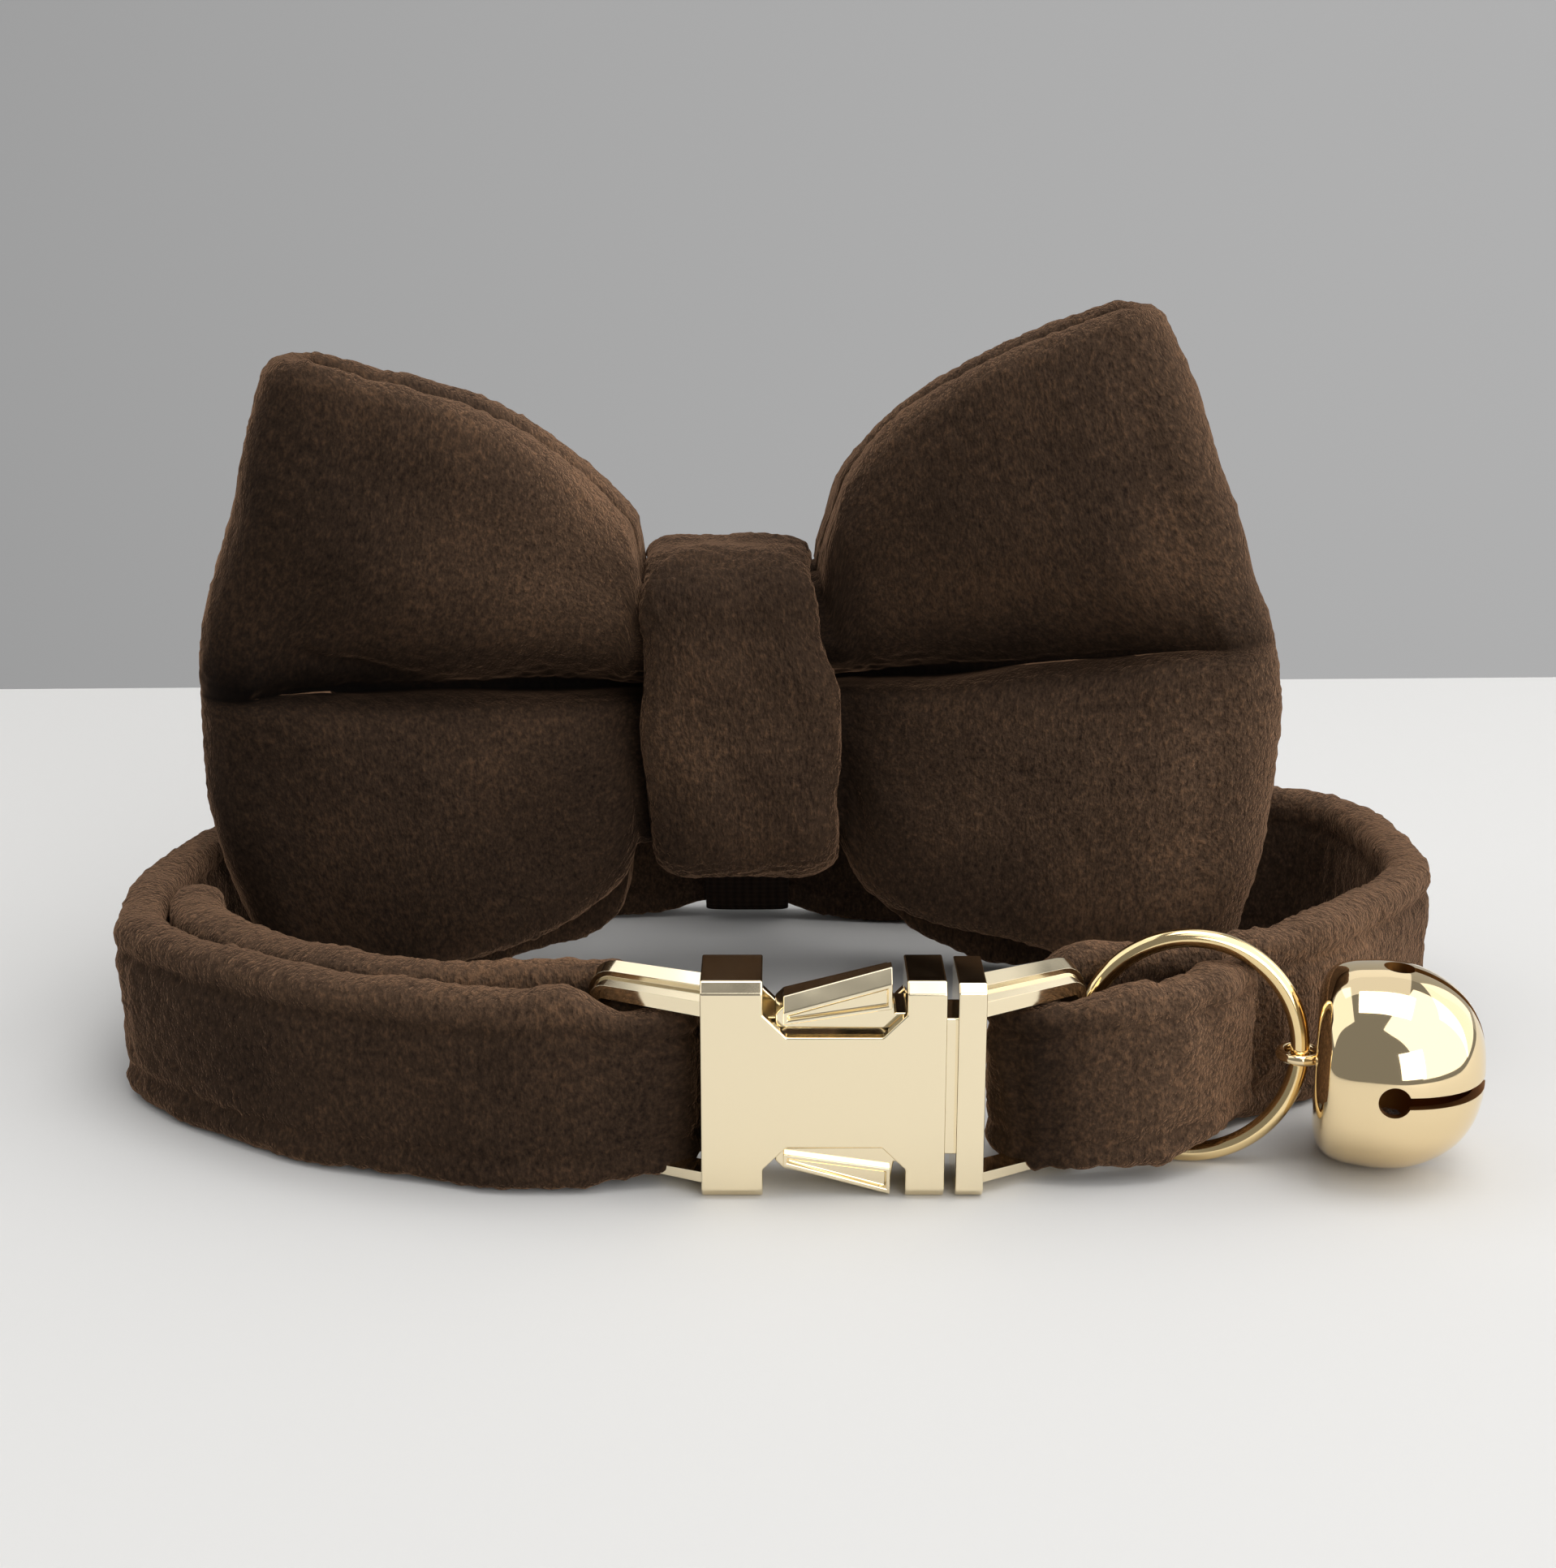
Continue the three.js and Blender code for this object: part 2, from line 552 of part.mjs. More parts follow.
// A ring of points round the layer's wall at one place of the loop. turn is 0 on the front
// layer, 180 degrees on the back layer, and sweeps between them round the end fold.
function wingRing(lobe, out, turn) {
  const backShare = (1 - Math.cos(turn)) / 2;
  const column = (name) => lookUp(lobe.rows, 'out', name, out);
  const bottom = THREE.MathUtils.lerp(column('front'), column('back'), backShare);
  const free = Math.max(0, (out - KNOT_SHARE) / (1 - KNOT_SHARE));
  const middle = BOW_Y - lobe.drop * free + lobe.level * free * free;
  const slit = THREE.MathUtils.lerp(SLIT, FOLD_SLIT, out);
  const wall = ({ up, full }, outer) => {
    const endShare = up === 0 ? END_CREASE : lookUp(PUFF, 'up', 'full', up);
    const foldRadius = FOLD_SLIT + endShare * lobe.rows.at(-1).thick;
    const end = lookUp(lobe.reach, 'up', 'x', up) - lobe.side * foldRadius;
    const z = up < 0
      ? THREE.MathUtils.lerp(column('crease'), bottom, -up)
      : THREE.MathUtils.lerp(column('crease'), column('top'), up);
    const crease = up === 0 ? THREE.MathUtils.lerp(full, END_CREASE, out ** 4) : full;
    const offset = slit + (outer ? crease * column('thick') : 0);
    const x = THREE.MathUtils.lerp(BOW_X, end, out) + lobe.side * offset * Math.sin(turn);
    return new THREE.Vector3(x, middle - offset * Math.cos(turn), z);
  };
  const outside = PUFF.map((place) => wall(place, true));
  const inside = [...PUFF].reverse().filter((_, i) => i % 3 === 0).map((place) => wall(place, false));
  return [...outside, ...inside];
}

function wings() {
  const along = [0.11, 0.22, 0.25, 0.27, 0.3, 0.36, 0.43, 0.51, 0.6, 0.7, 0.8, 0.9];
  const foldTurns = [0, 0.15, 0.32, 0.5, 0.68, 0.85, 1];
  const halfLoop = (lobe) => [
    ...along.map((out) => wingRing(lobe, out, 0)),
    ...foldTurns.map((share) => wingRing(lobe, 1, share * Math.PI)),
    ...[...along].reverse().map((out) => wingRing(lobe, out, Math.PI)),
  ];
  const loop = [
    wingRing(LEFT_LOBE, 0, 0),
    ...halfLoop(LEFT_LOBE),
    wingRing(LEFT_LOBE, 0, Math.PI),
    ...halfLoop(RIGHT_LOBE).reverse(),
  ];
  return skin(loop, true);
}

addPiece('bow_wings', wings(), 'velvet');

// The knot's band, bottom of the front to the top: height share against where its edges are.
const KNOT_EDGES = [
  { up: 0, left: -12, right: 4.2 },
  { up: 0.5, left: -12.7, right: 4.4 },
  { up: 0.8, left: -12.6, right: 2.8 },
  { up: 1, left: -12.5, right: 1.6 },
];

// The band's cut across its width, outer side then inner side.
const KNOT_CUT = [
  { across: -1, thick: 0.3 },
  { across: -0.78, thick: 0.88 },
  { across: 0, thick: 1 },
  { across: 0.78, thick: 0.88 },
  { across: 1, thick: 0.3 },
  { across: 0.8, thick: 0 },
  { across: 0, thick: 0 },
  { across: -0.8, thick: 0 },
];

function knot() {
  const steps = 32;
  const corner = 0.48;
  const halfHeight = (KNOT.high - KNOT.low) / 2;
  const middle = (KNOT.high + KNOT.low) / 2;
  const rounded = (value) => Math.sign(value) * Math.abs(value) ** corner;
  const rings = Array.from({ length: steps }, (_, i) => {
    const angle = (i * 2 * Math.PI) / steps;
    const [toBack, toTop] = [rounded(Math.cos(angle)), rounded(Math.sin(angle))];
    const up = (toTop + 1) / 2;
    const left = lookUp(KNOT_EDGES, 'up', 'left', up);
    const right = lookUp(KNOT_EDGES, 'up', 'right', up);
    return KNOT_CUT.map(({ across, thick }) => {
      const inset = KNOT.wall * (1 - thick);
      const x = (left + right) / 2 + (across * (right - left)) / 2;
      const y = BOW_Y + (KNOT.depth / 2 - inset) * toBack;
      const z = middle + (halfHeight - inset) * toTop;
      return new THREE.Vector3(x, y, z);
    });
  });
  return skin(rings, true);
}

addPiece('bow_knot', knot(), 'velvet');

// The elastic loop behind the knot, round the band.
function keeper() {
  const rounding = 2;
  const outline = (inset) => {
    const [y0, y1] = [KEEPER.front + inset, KEEPER.back - inset];
    const [z0, z1] = [KEEPER.low + inset, KEEPER.high - inset];
    const r = rounding - inset;
    const path = inset === 0 ? new THREE.Shape() : new THREE.Path();
    path.moveTo(y0 + r, z0);
    path.lineTo(y1 - r, z0);
    path.absarc(y1 - r, z0 + r, r, -Math.PI / 2, 0, false);
    path.lineTo(y1, z1 - r);
    path.absarc(y1 - r, z1 - r, r, 0, Math.PI / 2, false);
    path.lineTo(y0 + r, z1);
    path.absarc(y0 + r, z1 - r, r, Math.PI / 2, Math.PI, false);
    path.lineTo(y0, z0 + r);
    path.absarc(y0 + r, z0 + r, r, Math.PI, Math.PI * 1.5, false);
    return path;
  };
  const shape = outline(0);
  shape.holes.push(outline(KEEPER.wall));
  const settings = { depth: KEEPER.right - KEEPER.left, bevelEnabled: false, curveSegments: 4 };
  const geometry = new THREE.ExtrudeGeometry(shape, settings);
  geometry.rotateX(Math.PI / 2).rotateZ(Math.PI / 2);
  return geometry.translate(KEEPER.left, 0, 0);
}

addPiece('bow_keeper', keeper(), 'elastic');

export default group;
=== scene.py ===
import math

import bmesh
import bpy
import numpy as np
from mathutils import Matrix, Vector


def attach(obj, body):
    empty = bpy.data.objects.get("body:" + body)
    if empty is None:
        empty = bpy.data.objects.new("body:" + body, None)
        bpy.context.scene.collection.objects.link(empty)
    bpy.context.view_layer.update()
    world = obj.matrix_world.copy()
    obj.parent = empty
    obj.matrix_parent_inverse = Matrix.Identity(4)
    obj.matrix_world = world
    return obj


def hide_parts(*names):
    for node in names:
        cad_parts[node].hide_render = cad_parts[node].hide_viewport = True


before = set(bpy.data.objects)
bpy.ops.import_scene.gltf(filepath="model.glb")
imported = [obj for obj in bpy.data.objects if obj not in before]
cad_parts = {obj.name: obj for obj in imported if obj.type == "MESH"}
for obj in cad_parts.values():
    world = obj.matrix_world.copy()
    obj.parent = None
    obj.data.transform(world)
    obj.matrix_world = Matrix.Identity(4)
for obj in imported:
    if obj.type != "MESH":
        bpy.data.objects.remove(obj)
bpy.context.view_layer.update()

# The table, the wall, the lights and the camera
# The collar stands on a matt white table top. Far behind its back edge hangs grey paper.
# A large softbox stands high on the right in front, with smaller ones overhead and around.
MM = 0.001


def linear(hex_colour):
    """sRGB hex to the linear red, green, blue and alpha that shaders work in."""
    parts = [int(hex_colour[i:i + 2], 16) / 255 for i in (0, 2, 4)]
    return (*[p / 12.92 if p <= 0.04045 else ((p + 0.055) / 1.055) ** 2.4 for p in parts], 1.0)


def add(tree, kind, inputs=(), **settings):
    """Adds one node: its own settings, then a value or a feeding output for each named input."""
    made = tree.nodes.new(kind)
    for name, value in settings.items():
        setattr(made, name, value)
    for name, value in dict(inputs).items():
        if isinstance(value, bpy.types.NodeSocket):
            tree.links.new(value, made.inputs[name])
        else:
            made.inputs[name].default_value = value
    return made


def blank_material(name):
    """A material with an empty node tree."""
    made = bpy.data.materials.new(name)
    made.use_nodes = True
    made.node_tree.nodes.clear()
    return made


def plane(name, corners, material):
    """A flat face through four corners, in millimetres."""
    mesh = bpy.data.meshes.new(name)
    mesh.from_pydata([(x * MM, y * MM, z * MM) for x, y, z in corners], [], [(0, 1, 2, 3)])
    mesh.materials.append(material)
    made = bpy.data.objects.new(name, mesh)
    bpy.context.scene.collection.objects.link(made)


# Matt paint gives an even, nearly white ground with soft shadows and hardly any gleam.
paint = blank_material("matt_white_table_paint")
coat = add(paint.node_tree, "ShaderNodeBsdfPrincipled",
           {"Base Color": linear("cecdcb"), "Roughness": 0.7, "Specular IOR Level": 0.2})
add(paint.node_tree, "ShaderNodeOutputMaterial", {"Surface": coat.outputs["BSDF"]})
plane("table_top", [(-900, -1100, 0), (900, -1100, 0), (900, 163, 0), (-900, 101, 0)], paint)

# The paper glows by itself, painted light that stands for the light on it: a plain soft grey, with
# the painted glow a little stronger towards the right.
paper = blank_material("glowing_grey_backdrop_paper")
tree = paper.node_tree
across = add(tree, "ShaderNodeSeparateXYZ", {0: add(tree, "ShaderNodeTexCoord").outputs["Object"]})
painted_glow = add(tree, "ShaderNodeMapRange", {
    "Value": across.outputs[0], "From Min": -0.4, "From Max": 0.4, "To Min": 0.24, "To Max": 0.33})
sheet = add(tree, "ShaderNodeBsdfPrincipled", {
    "Base Color": linear("7a7a7a"), "Roughness": 0.8, "Emission Color": (1, 1, 1, 1),
    "Emission Strength": painted_glow.outputs[0]})
add(tree, "ShaderNodeOutputMaterial", {"Surface": sheet.outputs["BSDF"]})
plane("backdrop", [(-1400, 900, -700), (1400, 900, -700), (1400, 900, 1100), (-1400, 900, 1100)],
      paper)


def softbox(name, place, size, watts):
    """A white square area light at a place in millimetres, turned to face the bow's middle."""
    lamp = bpy.data.lights.new(name, "AREA")
    lamp.shape = "SQUARE"
    lamp.size = size * MM
    lamp.energy = watts
    made = bpy.data.objects.new(name, lamp)
    made.location = Vector(place) * MM
    towards = Vector((0, 0, 25)) * MM - made.location
    made.rotation_euler = towards.to_track_quat("-Z", "Y").to_euler()
    bpy.context.scene.collection.objects.link(made)


softbox("key_softbox", (430, -240, 430), 960, 4.3)
softbox("top_softbox", (100, -30, 600), 320, 1.2)
softbox("front_softbox", (200, -560, 200), 300, 0.9)
softbox("right_softbox", (480, 160, 230), 420, 0.6)
softbox("back_softbox", (40, 330, 520), 480, 0.45)
softbox("left_softbox", (-320, 60, 400), 520, 0.85)
world = bpy.data.worlds.new("studio_air")
world.use_nodes = True
background = world.node_tree.nodes["Background"]
background.inputs["Color"].default_value = (0.98, 0.985, 1, 1)
background.inputs["Strength"].default_value = 0.24
bpy.context.scene.world = world

# The camera stands in front of the collar and looks down on it, as in the photograph.
LOOKS_DOWN = 15.35
FOCAL_PIXELS = 2900
PHOTO_HEIGHT = 1932
camera = bpy.data.objects.new("photo_camera", bpy.data.cameras.new("photo_camera"))
camera.location = Vector((-1, -189, 73.5)) * MM
camera.rotation_euler = (math.radians(90 - LOOKS_DOWN), 0, 0)
camera.data.sensor_width = 36
camera.data.lens = FOCAL_PIXELS / PHOTO_HEIGHT * 36
camera.data.clip_start = 0.005
bpy.context.scene.collection.objects.link(camera)
bpy.context.scene.camera = camera
bpy.context.scene.view_settings.view_transform = "Standard"

# The band
# A strip of webbing and wadding wrapped in brown short-pile velvet, 15 mm wide and 3.7 mm
# thick. It is topstitched along both edges, folded back round each buckle half and sewn.
# Columns, in millimetres: x, y, lower edge, upper edge, thickness, along the middle line.
BAND_ROWS = np.array([
    (-48.1, -4.6, 0.8, 14.2, 2.2), (-47.9, -6.2, 0.2, 14.8, 3.5), (-47.6, -9.9, 0, 15, 4.1),
    (-45.9, -13.4, 0, 15, 4.3), (-43.4, -16.2, 0, 15, 4.3), (-39.5, -19.4, 0, 15, 4.1),
    (-33.4, -23.2, 0, 15, 4.1), (-26.8, -25.2, 0, 15, 4), (-21, -25.6, 0, 15, 3.7),
    (-16.4, -25.1, 0, 15, 3.3), (-12.1, -25.3, 0.8, 14.8, 2.9), (-8.7, -26.2, 1.3, 13.5, 2.9),
    (-7.9, -28.1, 1, 13.5, 2.9), (-8.9, -30.2, 0.9, 13.5, 2.9), (-12.6, -31.4, 0.6, 13.6, 2.9),
    (-15.8, -31.8, 0, 15.4, 3.4), (-21, -31.4, 0, 15, 3.7), (-27.6, -29.5, 0, 15, 3.7),
    (-34.8, -27.1, 0, 15, 3.7), (-41.8, -22.6, 0, 15, 3.7), (-46.5, -19.2, 0, 15, 3.7),
    (-50.3, -15.2, 0, 15, 3.7), (-51.9, -9.8, 0, 15, 3.7), (-52.1, -4.6, 0, 15, 3.7),
    (-51.9, 1.6, 0, 15, 3.7), (-49.9, 10.3, 0, 15, 3.7), (-45.8, 17.6, 0, 15, 3.7),
    (-39.1, 23.6, 0, 15, 3.7), (-30.4, 28, 0, 15, 3.7), (-20, 30.4, 0, 15, 3.7),
    (-12, 31.3, 0.2, 15, 3.7), (-7.5, 31.2, 1.4, 14.1, 3.3), (-0.5, 30.7, 1.4, 14.1, 3.3),
    (4, 30.2, 0.2, 15, 3.7), (12.7, 29, 0, 15, 3.7), (24, 27.2, 0, 15, 3.7),
    (35, 25.2, 0, 15, 3.7), (44.4, 22.9, 0, 15, 3.7), (50, 18.5, 0, 15, 3.7),
    (52.2, 11.8, 0, 15, 3.7), (52.4, 5, 0, 15, 3.7), (52, 0, 0, 15, 3.7), (48.8, -5.2, 0, 15, 3.7),
    (43.5, -11.4, 0, 15, 3.7), (39.2, -16, 0, 15, 3.7), (34.5, -18.9, 0, 15, 3.7),
    (29.5, -20.4, 0.2, 15, 3.7), (24.5, -21.4, 0.4, 15, 3.5), (20.8, -22.2, 0.6, 15, 3),
    (17.6, -23.3, 1.7, 13.5, 2.9), (16.2, -25.2, 1.2, 13.5, 2.9), (15.9, -28.2, 1, 13.5, 2.9),
    (17.8, -30.2, 0.9, 13.5, 2.9), (21.4, -30.8, 1.1, 14.3, 3), (24.4, -30.4, 1, 15, 3.2),
    (27, -29.7, 1.1, 15, 3.3), (29.2, -28.2, 2, 15, 3.4), (31, -26.3, 2.4, 15, 3.5),
    (33.3, -23.8, 2.7, 15, 3.2), (34.7, -23.1, 3.6, 14.2, 2.2),
])
BAND_STEP = 0.46
BAND_SIDE_POINTS = 44
BAND_TOP = 15.9
# Each cut end is rounded off over 1.7 mm and loses 1.4 mm of height above and below.
END_ROUNDING, END_TAPER = 1.7, 1.4
# The two rows of stitches, in shares of the band's width from its lower edge.
STITCH_ROWS = (0.18, 0.82)


def spline(rows, at):
    """Centripetal Catmull-Rom curve through the rows, all columns at once, read at fractional
    row numbers. Knots are spaced by the square root of the distance in the first two columns."""
    padded = np.vstack([2 * rows[0] - rows[1], rows, 2 * rows[-1] - rows[-2]])
    gaps = np.sqrt(np.linalg.norm(np.diff(padded[:, :2], axis=0), axis=1))[:, None]
    i = np.clip(np.floor(at).astype(int), 0, len(rows) - 2)
    t = (at - i)[:, None]
    p0, p1, p2, p3 = (padded[i + k] for k in range(4))
    d0, d1, d2 = (gaps[i + k] for k in range(3))
    m1 = ((p1 - p0) / d0 - (p2 - p0) / (d0 + d1) + (p2 - p1) / d1) * d1
    m2 = ((p2 - p1) / d1 - (p3 - p1) / (d1 + d2) + (p3 - p2) / d2) * d1
    return (p1 + m1 * t + (-3 * p1 + 3 * p2 - 2 * m1 - m2) * t ** 2
            + (2 * p1 - 2 * p2 + m1 + m2) * t ** 3)


def grain(points, wavelength, seed, waves=40):
    """Smooth random field over points in millimetres, with a spread of about 1: the sum of plane
    waves with random directions and phases, all within a third of the given wavelength."""
    draw = np.random.default_rng(seed)
    direction = draw.normal(size=(waves, 3))
    direction /= np.linalg.norm(direction, axis=1)[:, None]
    pitch = 2 * np.pi / (wavelength * draw.uniform(0.75, 1.35, waves))
    phase = draw.uniform(0, 2 * np.pi, waves)
    total = np.zeros(len(points))
    for k in range(waves):
        total += np.sin(points @ (direction[k] * pitch[k]) + phase[k])
    return total / math.sqrt(waves / 2)


def bump_at(x, middle, width):
    """A bell curve: 1 at the middle, fading over the width."""
    return np.exp(-((x - middle) / width) ** 2)


def travelled(points, closed=False):
    """Distance along the points from the first one, and on back to the first one if closed."""
    if closed:
        points = np.vstack([points, points[:1]])
    return np.concatenate([[0], np.cumsum(np.linalg.norm(np.diff(points, axis=0), axis=1))])


def skin(name, grid, u, v, closed_along, material):
    """A mesh over a grid of points in millimetres, rows along and columns round. It closes on
    itself round, and along it either closes too or is drawn together at both ends. u and v are
    the cloth's own measures along and round, in millimetres, one longer where it closes."""
    rows, columns = grid.shape[:2]
    points = grid.reshape(-1, 3)
    spans = rows if closed_along else rows - 1
    i, j = np.meshgrid(np.arange(spans), np.arange(columns), indexing="ij")
    i, j = i.ravel(), j.ravel()
    i2, j2 = (i + 1) % rows, (j + 1) % columns
    faces = np.stack([i * columns + j, i2 * columns + j, i2 * columns + j2, i * columns + j2], 1)
    uv = np.stack([np.stack([u[i], v[j]], 1), np.stack([u[i + 1], v[j]], 1),
                   np.stack([u[i + 1], v[j + 1]], 1), np.stack([u[i], v[j + 1]], 1)], 1)
    uv = uv.reshape(-1, 2)
    faces = faces.tolist()
    if not closed_along:
        for row, order in ((0, (0, 1)), (rows - 1, (1, 0))):
            middle = len(points)
            points = np.vstack([points, grid[row].mean(axis=0)])
            k = np.arange(columns)
            pair = np.stack([k, (k + 1) % columns], 1)[:, order] + row * columns
            faces += np.column_stack([pair, np.full(columns, middle)]).tolist()
            uv = np.vstack([uv, np.stack([np.full(3 * columns, u[row]), np.repeat(v[:-1], 3)], 1)])
    mesh = bpy.data.meshes.new(name)
    mesh.from_pydata((points * MM).tolist(), [], faces)
    layer = mesh.uv_layers.new(name="cloth")
    layer.data.foreach_set("uv", (uv * MM).astype(np.float32).ravel())
    mesh.materials.append(material)
    mesh.polygons.foreach_set("use_smooth", np.ones(len(mesh.polygons), bool))
    mesh.calc_loop_triangles()
    triangles = np.empty(len(mesh.loop_triangles) * 3, np.int32)
    mesh.loop_triangles.foreach_get("vertices", triangles)
    a, b, c = points[triangles.reshape(-1, 3)].transpose(1, 0, 2)
    if np.einsum("ij,ij->i", a, np.cross(b, c)).sum() < 0:
        mesh.flip_normals()
    mesh.update()
    made = bpy.data.objects.new(name, mesh)
    bpy.context.scene.collection.objects.link(made)
    return made


def raise_surface(piece, height_of):
    """Moves each vertex along its normal by height_of(points), in millimetres, but not below
    the table."""
    mesh = piece.data
    points = np.empty(len(mesh.vertices) * 3)
    mesh.vertices.foreach_get("co", points)
    normals = np.empty(len(mesh.vertices) * 3)
    mesh.vertex_normals.foreach_get("vector", normals)
    points, normals = points.reshape(-1, 3) / MM, normals.reshape(-1, 3)
    moved = points + normals * height_of(points)[:, None]
    moved[:, 2] = np.maximum(moved[:, 2], 0)
    mesh.vertices.foreach_set("co", (moved * MM).ravel())
    mesh.update()


def nap_height(points):
    """Short pile that leans in clumps: two close random fields that raise it by about 0.05 mm."""
    return 0.045 * grain(points, 1.5, 11) + 0.03 * grain(points, 0.8, 12)


def velvet_material(name, nap):
    """Short-pile polyester velvet, knitted and sheared: brown, matt, with clumps of pile that lie
    lighter or darker, and pale rims where the pile is seen from the side. The clumps are longer
    along or across the piece, as nap says."""
    made = blank_material(name)
    tree = made.node_tree
    cloth = add(tree, "ShaderNodeUVMap", uv_map="cloth").outputs["UV"]
    stretch = (1, 0.6, 1) if nap == "across" else (0.6, 1, 1)
    laid = add(tree, "ShaderNodeVectorMath", {0: cloth, 1: stretch}, operation="MULTIPLY").outputs[0]
    place = add(tree, "ShaderNodeTexCoord").outputs["Object"]
    # Clumps 0.5 mm across and 0.8 mm long, tufts less than half that, and hand marks of 14 mm.
    # The real pile is finer still, and is drawn this coarse so that it shows.
    clumps = add(tree, "ShaderNodeTexNoise",
                 {"Vector": laid, "Scale": 2000, "Detail": 3, "Roughness": 0.6})
    tufts = add(tree, "ShaderNodeTexNoise",
                {"Vector": laid, "Scale": 4400, "Detail": 2, "Roughness": 0.5})
    marks = add(tree, "ShaderNodeTexNoise",
                {"Vector": place, "Scale": 70, "Detail": 3, "Roughness": 0.55})
    pile = add(tree, "ShaderNodeMix", {"Factor": 0.4, "A": clumps.outputs[0], "B": tufts.outputs[0]})
    tone = add(tree, "ShaderNodeMath", {0: pile.outputs[0], 1: 0.7}, operation="MULTIPLY")
    both = add(tree, "ShaderNodeMath", {0: marks.outputs[0], 1: 0.3, 2: tone.outputs[0]},
               operation="MULTIPLY_ADD")
    colours = add(tree, "ShaderNodeValToRGB", {"Fac": both.outputs[0]})
    ramp = colours.color_ramp
    ramp.elements[0].position, ramp.elements[0].color = 0.34, linear("1c140f")
    ramp.elements[1].position, ramp.elements[1].color = 0.7, linear("58412f")
    middle = ramp.elements.new(0.5)
    middle.color = linear("35281e")
    # Painted light and shade, kept at each vertex, darkens the colour for painted shade and lightens
    # it for painted highlights. The bumps weaken in the painted shade and grow in the painted light.
    painted_shading = add(tree, "ShaderNodeAttribute", attribute_name="painted_shading").outputs["Fac"]
    shade = add(tree, "ShaderNodeMath", {0: painted_shading, 1: -0.93, 2: 1}, operation="MULTIPLY_ADD").outputs[0]
    shaded = add(tree, "ShaderNodeVectorMath", {0: colours.outputs[0], "Scale": shade},
                 operation="SCALE")
    bumps = add(tree, "ShaderNodeBump",
                {"Height": pile.outputs[0], "Strength": shade, "Distance": 0.0003})
    shader = add(tree, "ShaderNodeBsdfPrincipled", {
        "Base Color": shaded.outputs[0], "Roughness": 0.92, "Specular IOR Level": 0.06,
        "Sheen Weight": 0.8, "Sheen Roughness": 0.28, "Sheen Tint": linear("b58d6e"),
        "Normal": bumps.outputs[0]})
    add(tree, "ShaderNodeOutputMaterial", {"Surface": shader.outputs["BSDF"]})
    return made


def paint_shading(piece, amount):
    """Keeps painted light and shade at each vertex: 1 darkest painted shade, 0 none, below 0 painted
    highlight.
    """
    layer = piece.data.attributes.new("painted_shading", "FLOAT", "POINT")
    layer.data.foreach_set("value", np.clip(amount, -1.6, 1).astype(np.float32))


velvet = velvet_material("brown_short_pile_velvet", "across")


def band():
    """The middle line is the spline, resampled every BAND_STEP. Round it runs a flat section
    with rounded edges, two stitched dips on each side, and both ends rounded off."""
    fine = spline(BAND_ROWS, np.linspace(0, len(BAND_ROWS) - 1, 6000))
    reached = travelled(fine[:, :2])
    along = np.linspace(0, reached[-1], int(reached[-1] / BAND_STEP))
    line = np.stack([np.interp(along, reached, column) for column in fine.T], 1)
    tangent = np.gradient(line[:, :2], along, axis=0)
    tangent /= np.linalg.norm(tangent, axis=1)[:, None]
    side = np.stack([-tangent[:, 1], tangent[:, 0]], 1)
    bend = np.abs(np.gradient(np.unwrap(np.arctan2(tangent[:, 1], tangent[:, 0])), along))
    to_end = np.minimum(along, along[-1] - along)
    rounding = np.sqrt(1 - (1 - np.clip(to_end / END_ROUNDING, 0.03, 1)) ** 2)
    low = np.clip(line[:, 2], 0, BAND_TOP) + END_TAPER * (1 - rounding)
    high = np.clip(line[:, 3], 0, BAND_TOP) - END_TAPER * (1 - rounding)
    half = line[:, 4] / 2 * rounding

    q = np.linspace(0, 1, BAND_SIDE_POINTS)
    up = 0.6 * q + 0.4 * (1 - np.cos(np.pi * q)) / 2
    rim = np.clip((0.11 - np.minimum(up, 1 - up)) / 0.11, 0, 1)
    out = (1 - rim ** 2.6) ** (1 / 2.5)
    stitched = bump_at(up, STITCH_ROWS[0], 0.028) + bump_at(up, STITCH_ROWS[1], 0.028)
    soft = 0.35 * (bump_at(up, STITCH_ROWS[0], 0.07) + bump_at(up, STITCH_ROWS[1], 0.07))
    out = out * (1 - 0.13 * stitched - 0.2 * soft)
    up = np.concatenate([up, up[-2:0:-1]])
    out = np.concatenate([out, -out[-2:0:-1]])
    offset = out[None, :] * half[:, None]
    z = low[:, None] + up[None, :] * (high - low)[:, None]
    grid = np.stack([line[:, :1] + side[:, :1] * offset, line[:, 1:2] + side[:, 1:] * offset, z], 2)

    u = np.append(along, along[-1])
    cut = np.stack([offset[len(offset) // 2], z[len(z) // 2]], 1)
    piece = skin("band", grid, u, travelled(cut, closed=True), False, velvet)
    flat_bend = np.append(np.repeat(bend, grid.shape[1]), [0, 0])
    flat_along = np.append(np.repeat(along, grid.shape[1]), [0, 0])

    def wrinkles(points):
        """Pile, slow waviness, and upright wrinkles where the band is bent."""
        folds = np.sin(flat_along * 2.1 + 1.5 * grain(points, 9, 21))
        slack = np.clip(flat_bend * 6, 0, 1)
        by_ring = bump_at(points[:, 0], 33, 7) * (points[:, 1] < 0)
        pulls = np.sin(flat_along * 0.9 + points[:, 2] * 0.45 + 1.2 * grain(points, 11, 23))
        return (nap_height(points) + 0.1 * grain(points, 8, 22) + 0.13 * slack * folds
                + 0.16 * by_ring * pulls)

    raise_surface(piece, wrinkles)
    # Painted highlights on the upper and lower rims and on the run that turns back on the right,
    # where the light comes from, and painted shadow beside the plug.
    x, y, height = grid.reshape(-1, 3).T
    rims = 0.95 * np.clip((height - 12.3) / 1.6, 0, 1) + 0.25 * np.clip((1.6 - height) / 1.4, 0, 1)
    right_run_light = 1.6 * np.clip((x - 19) / 10, 0, 1) * np.clip((2 - y) / 14, 0, 1)
    by_buckle = 0.5 * bump_at(x, 17.5, 3) * (y < -26)
    paint_shading(piece, np.append(by_buckle - rims - right_run_light, [0, 0]))
    return piece


strap = band()
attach(strap, "root")
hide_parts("strap")

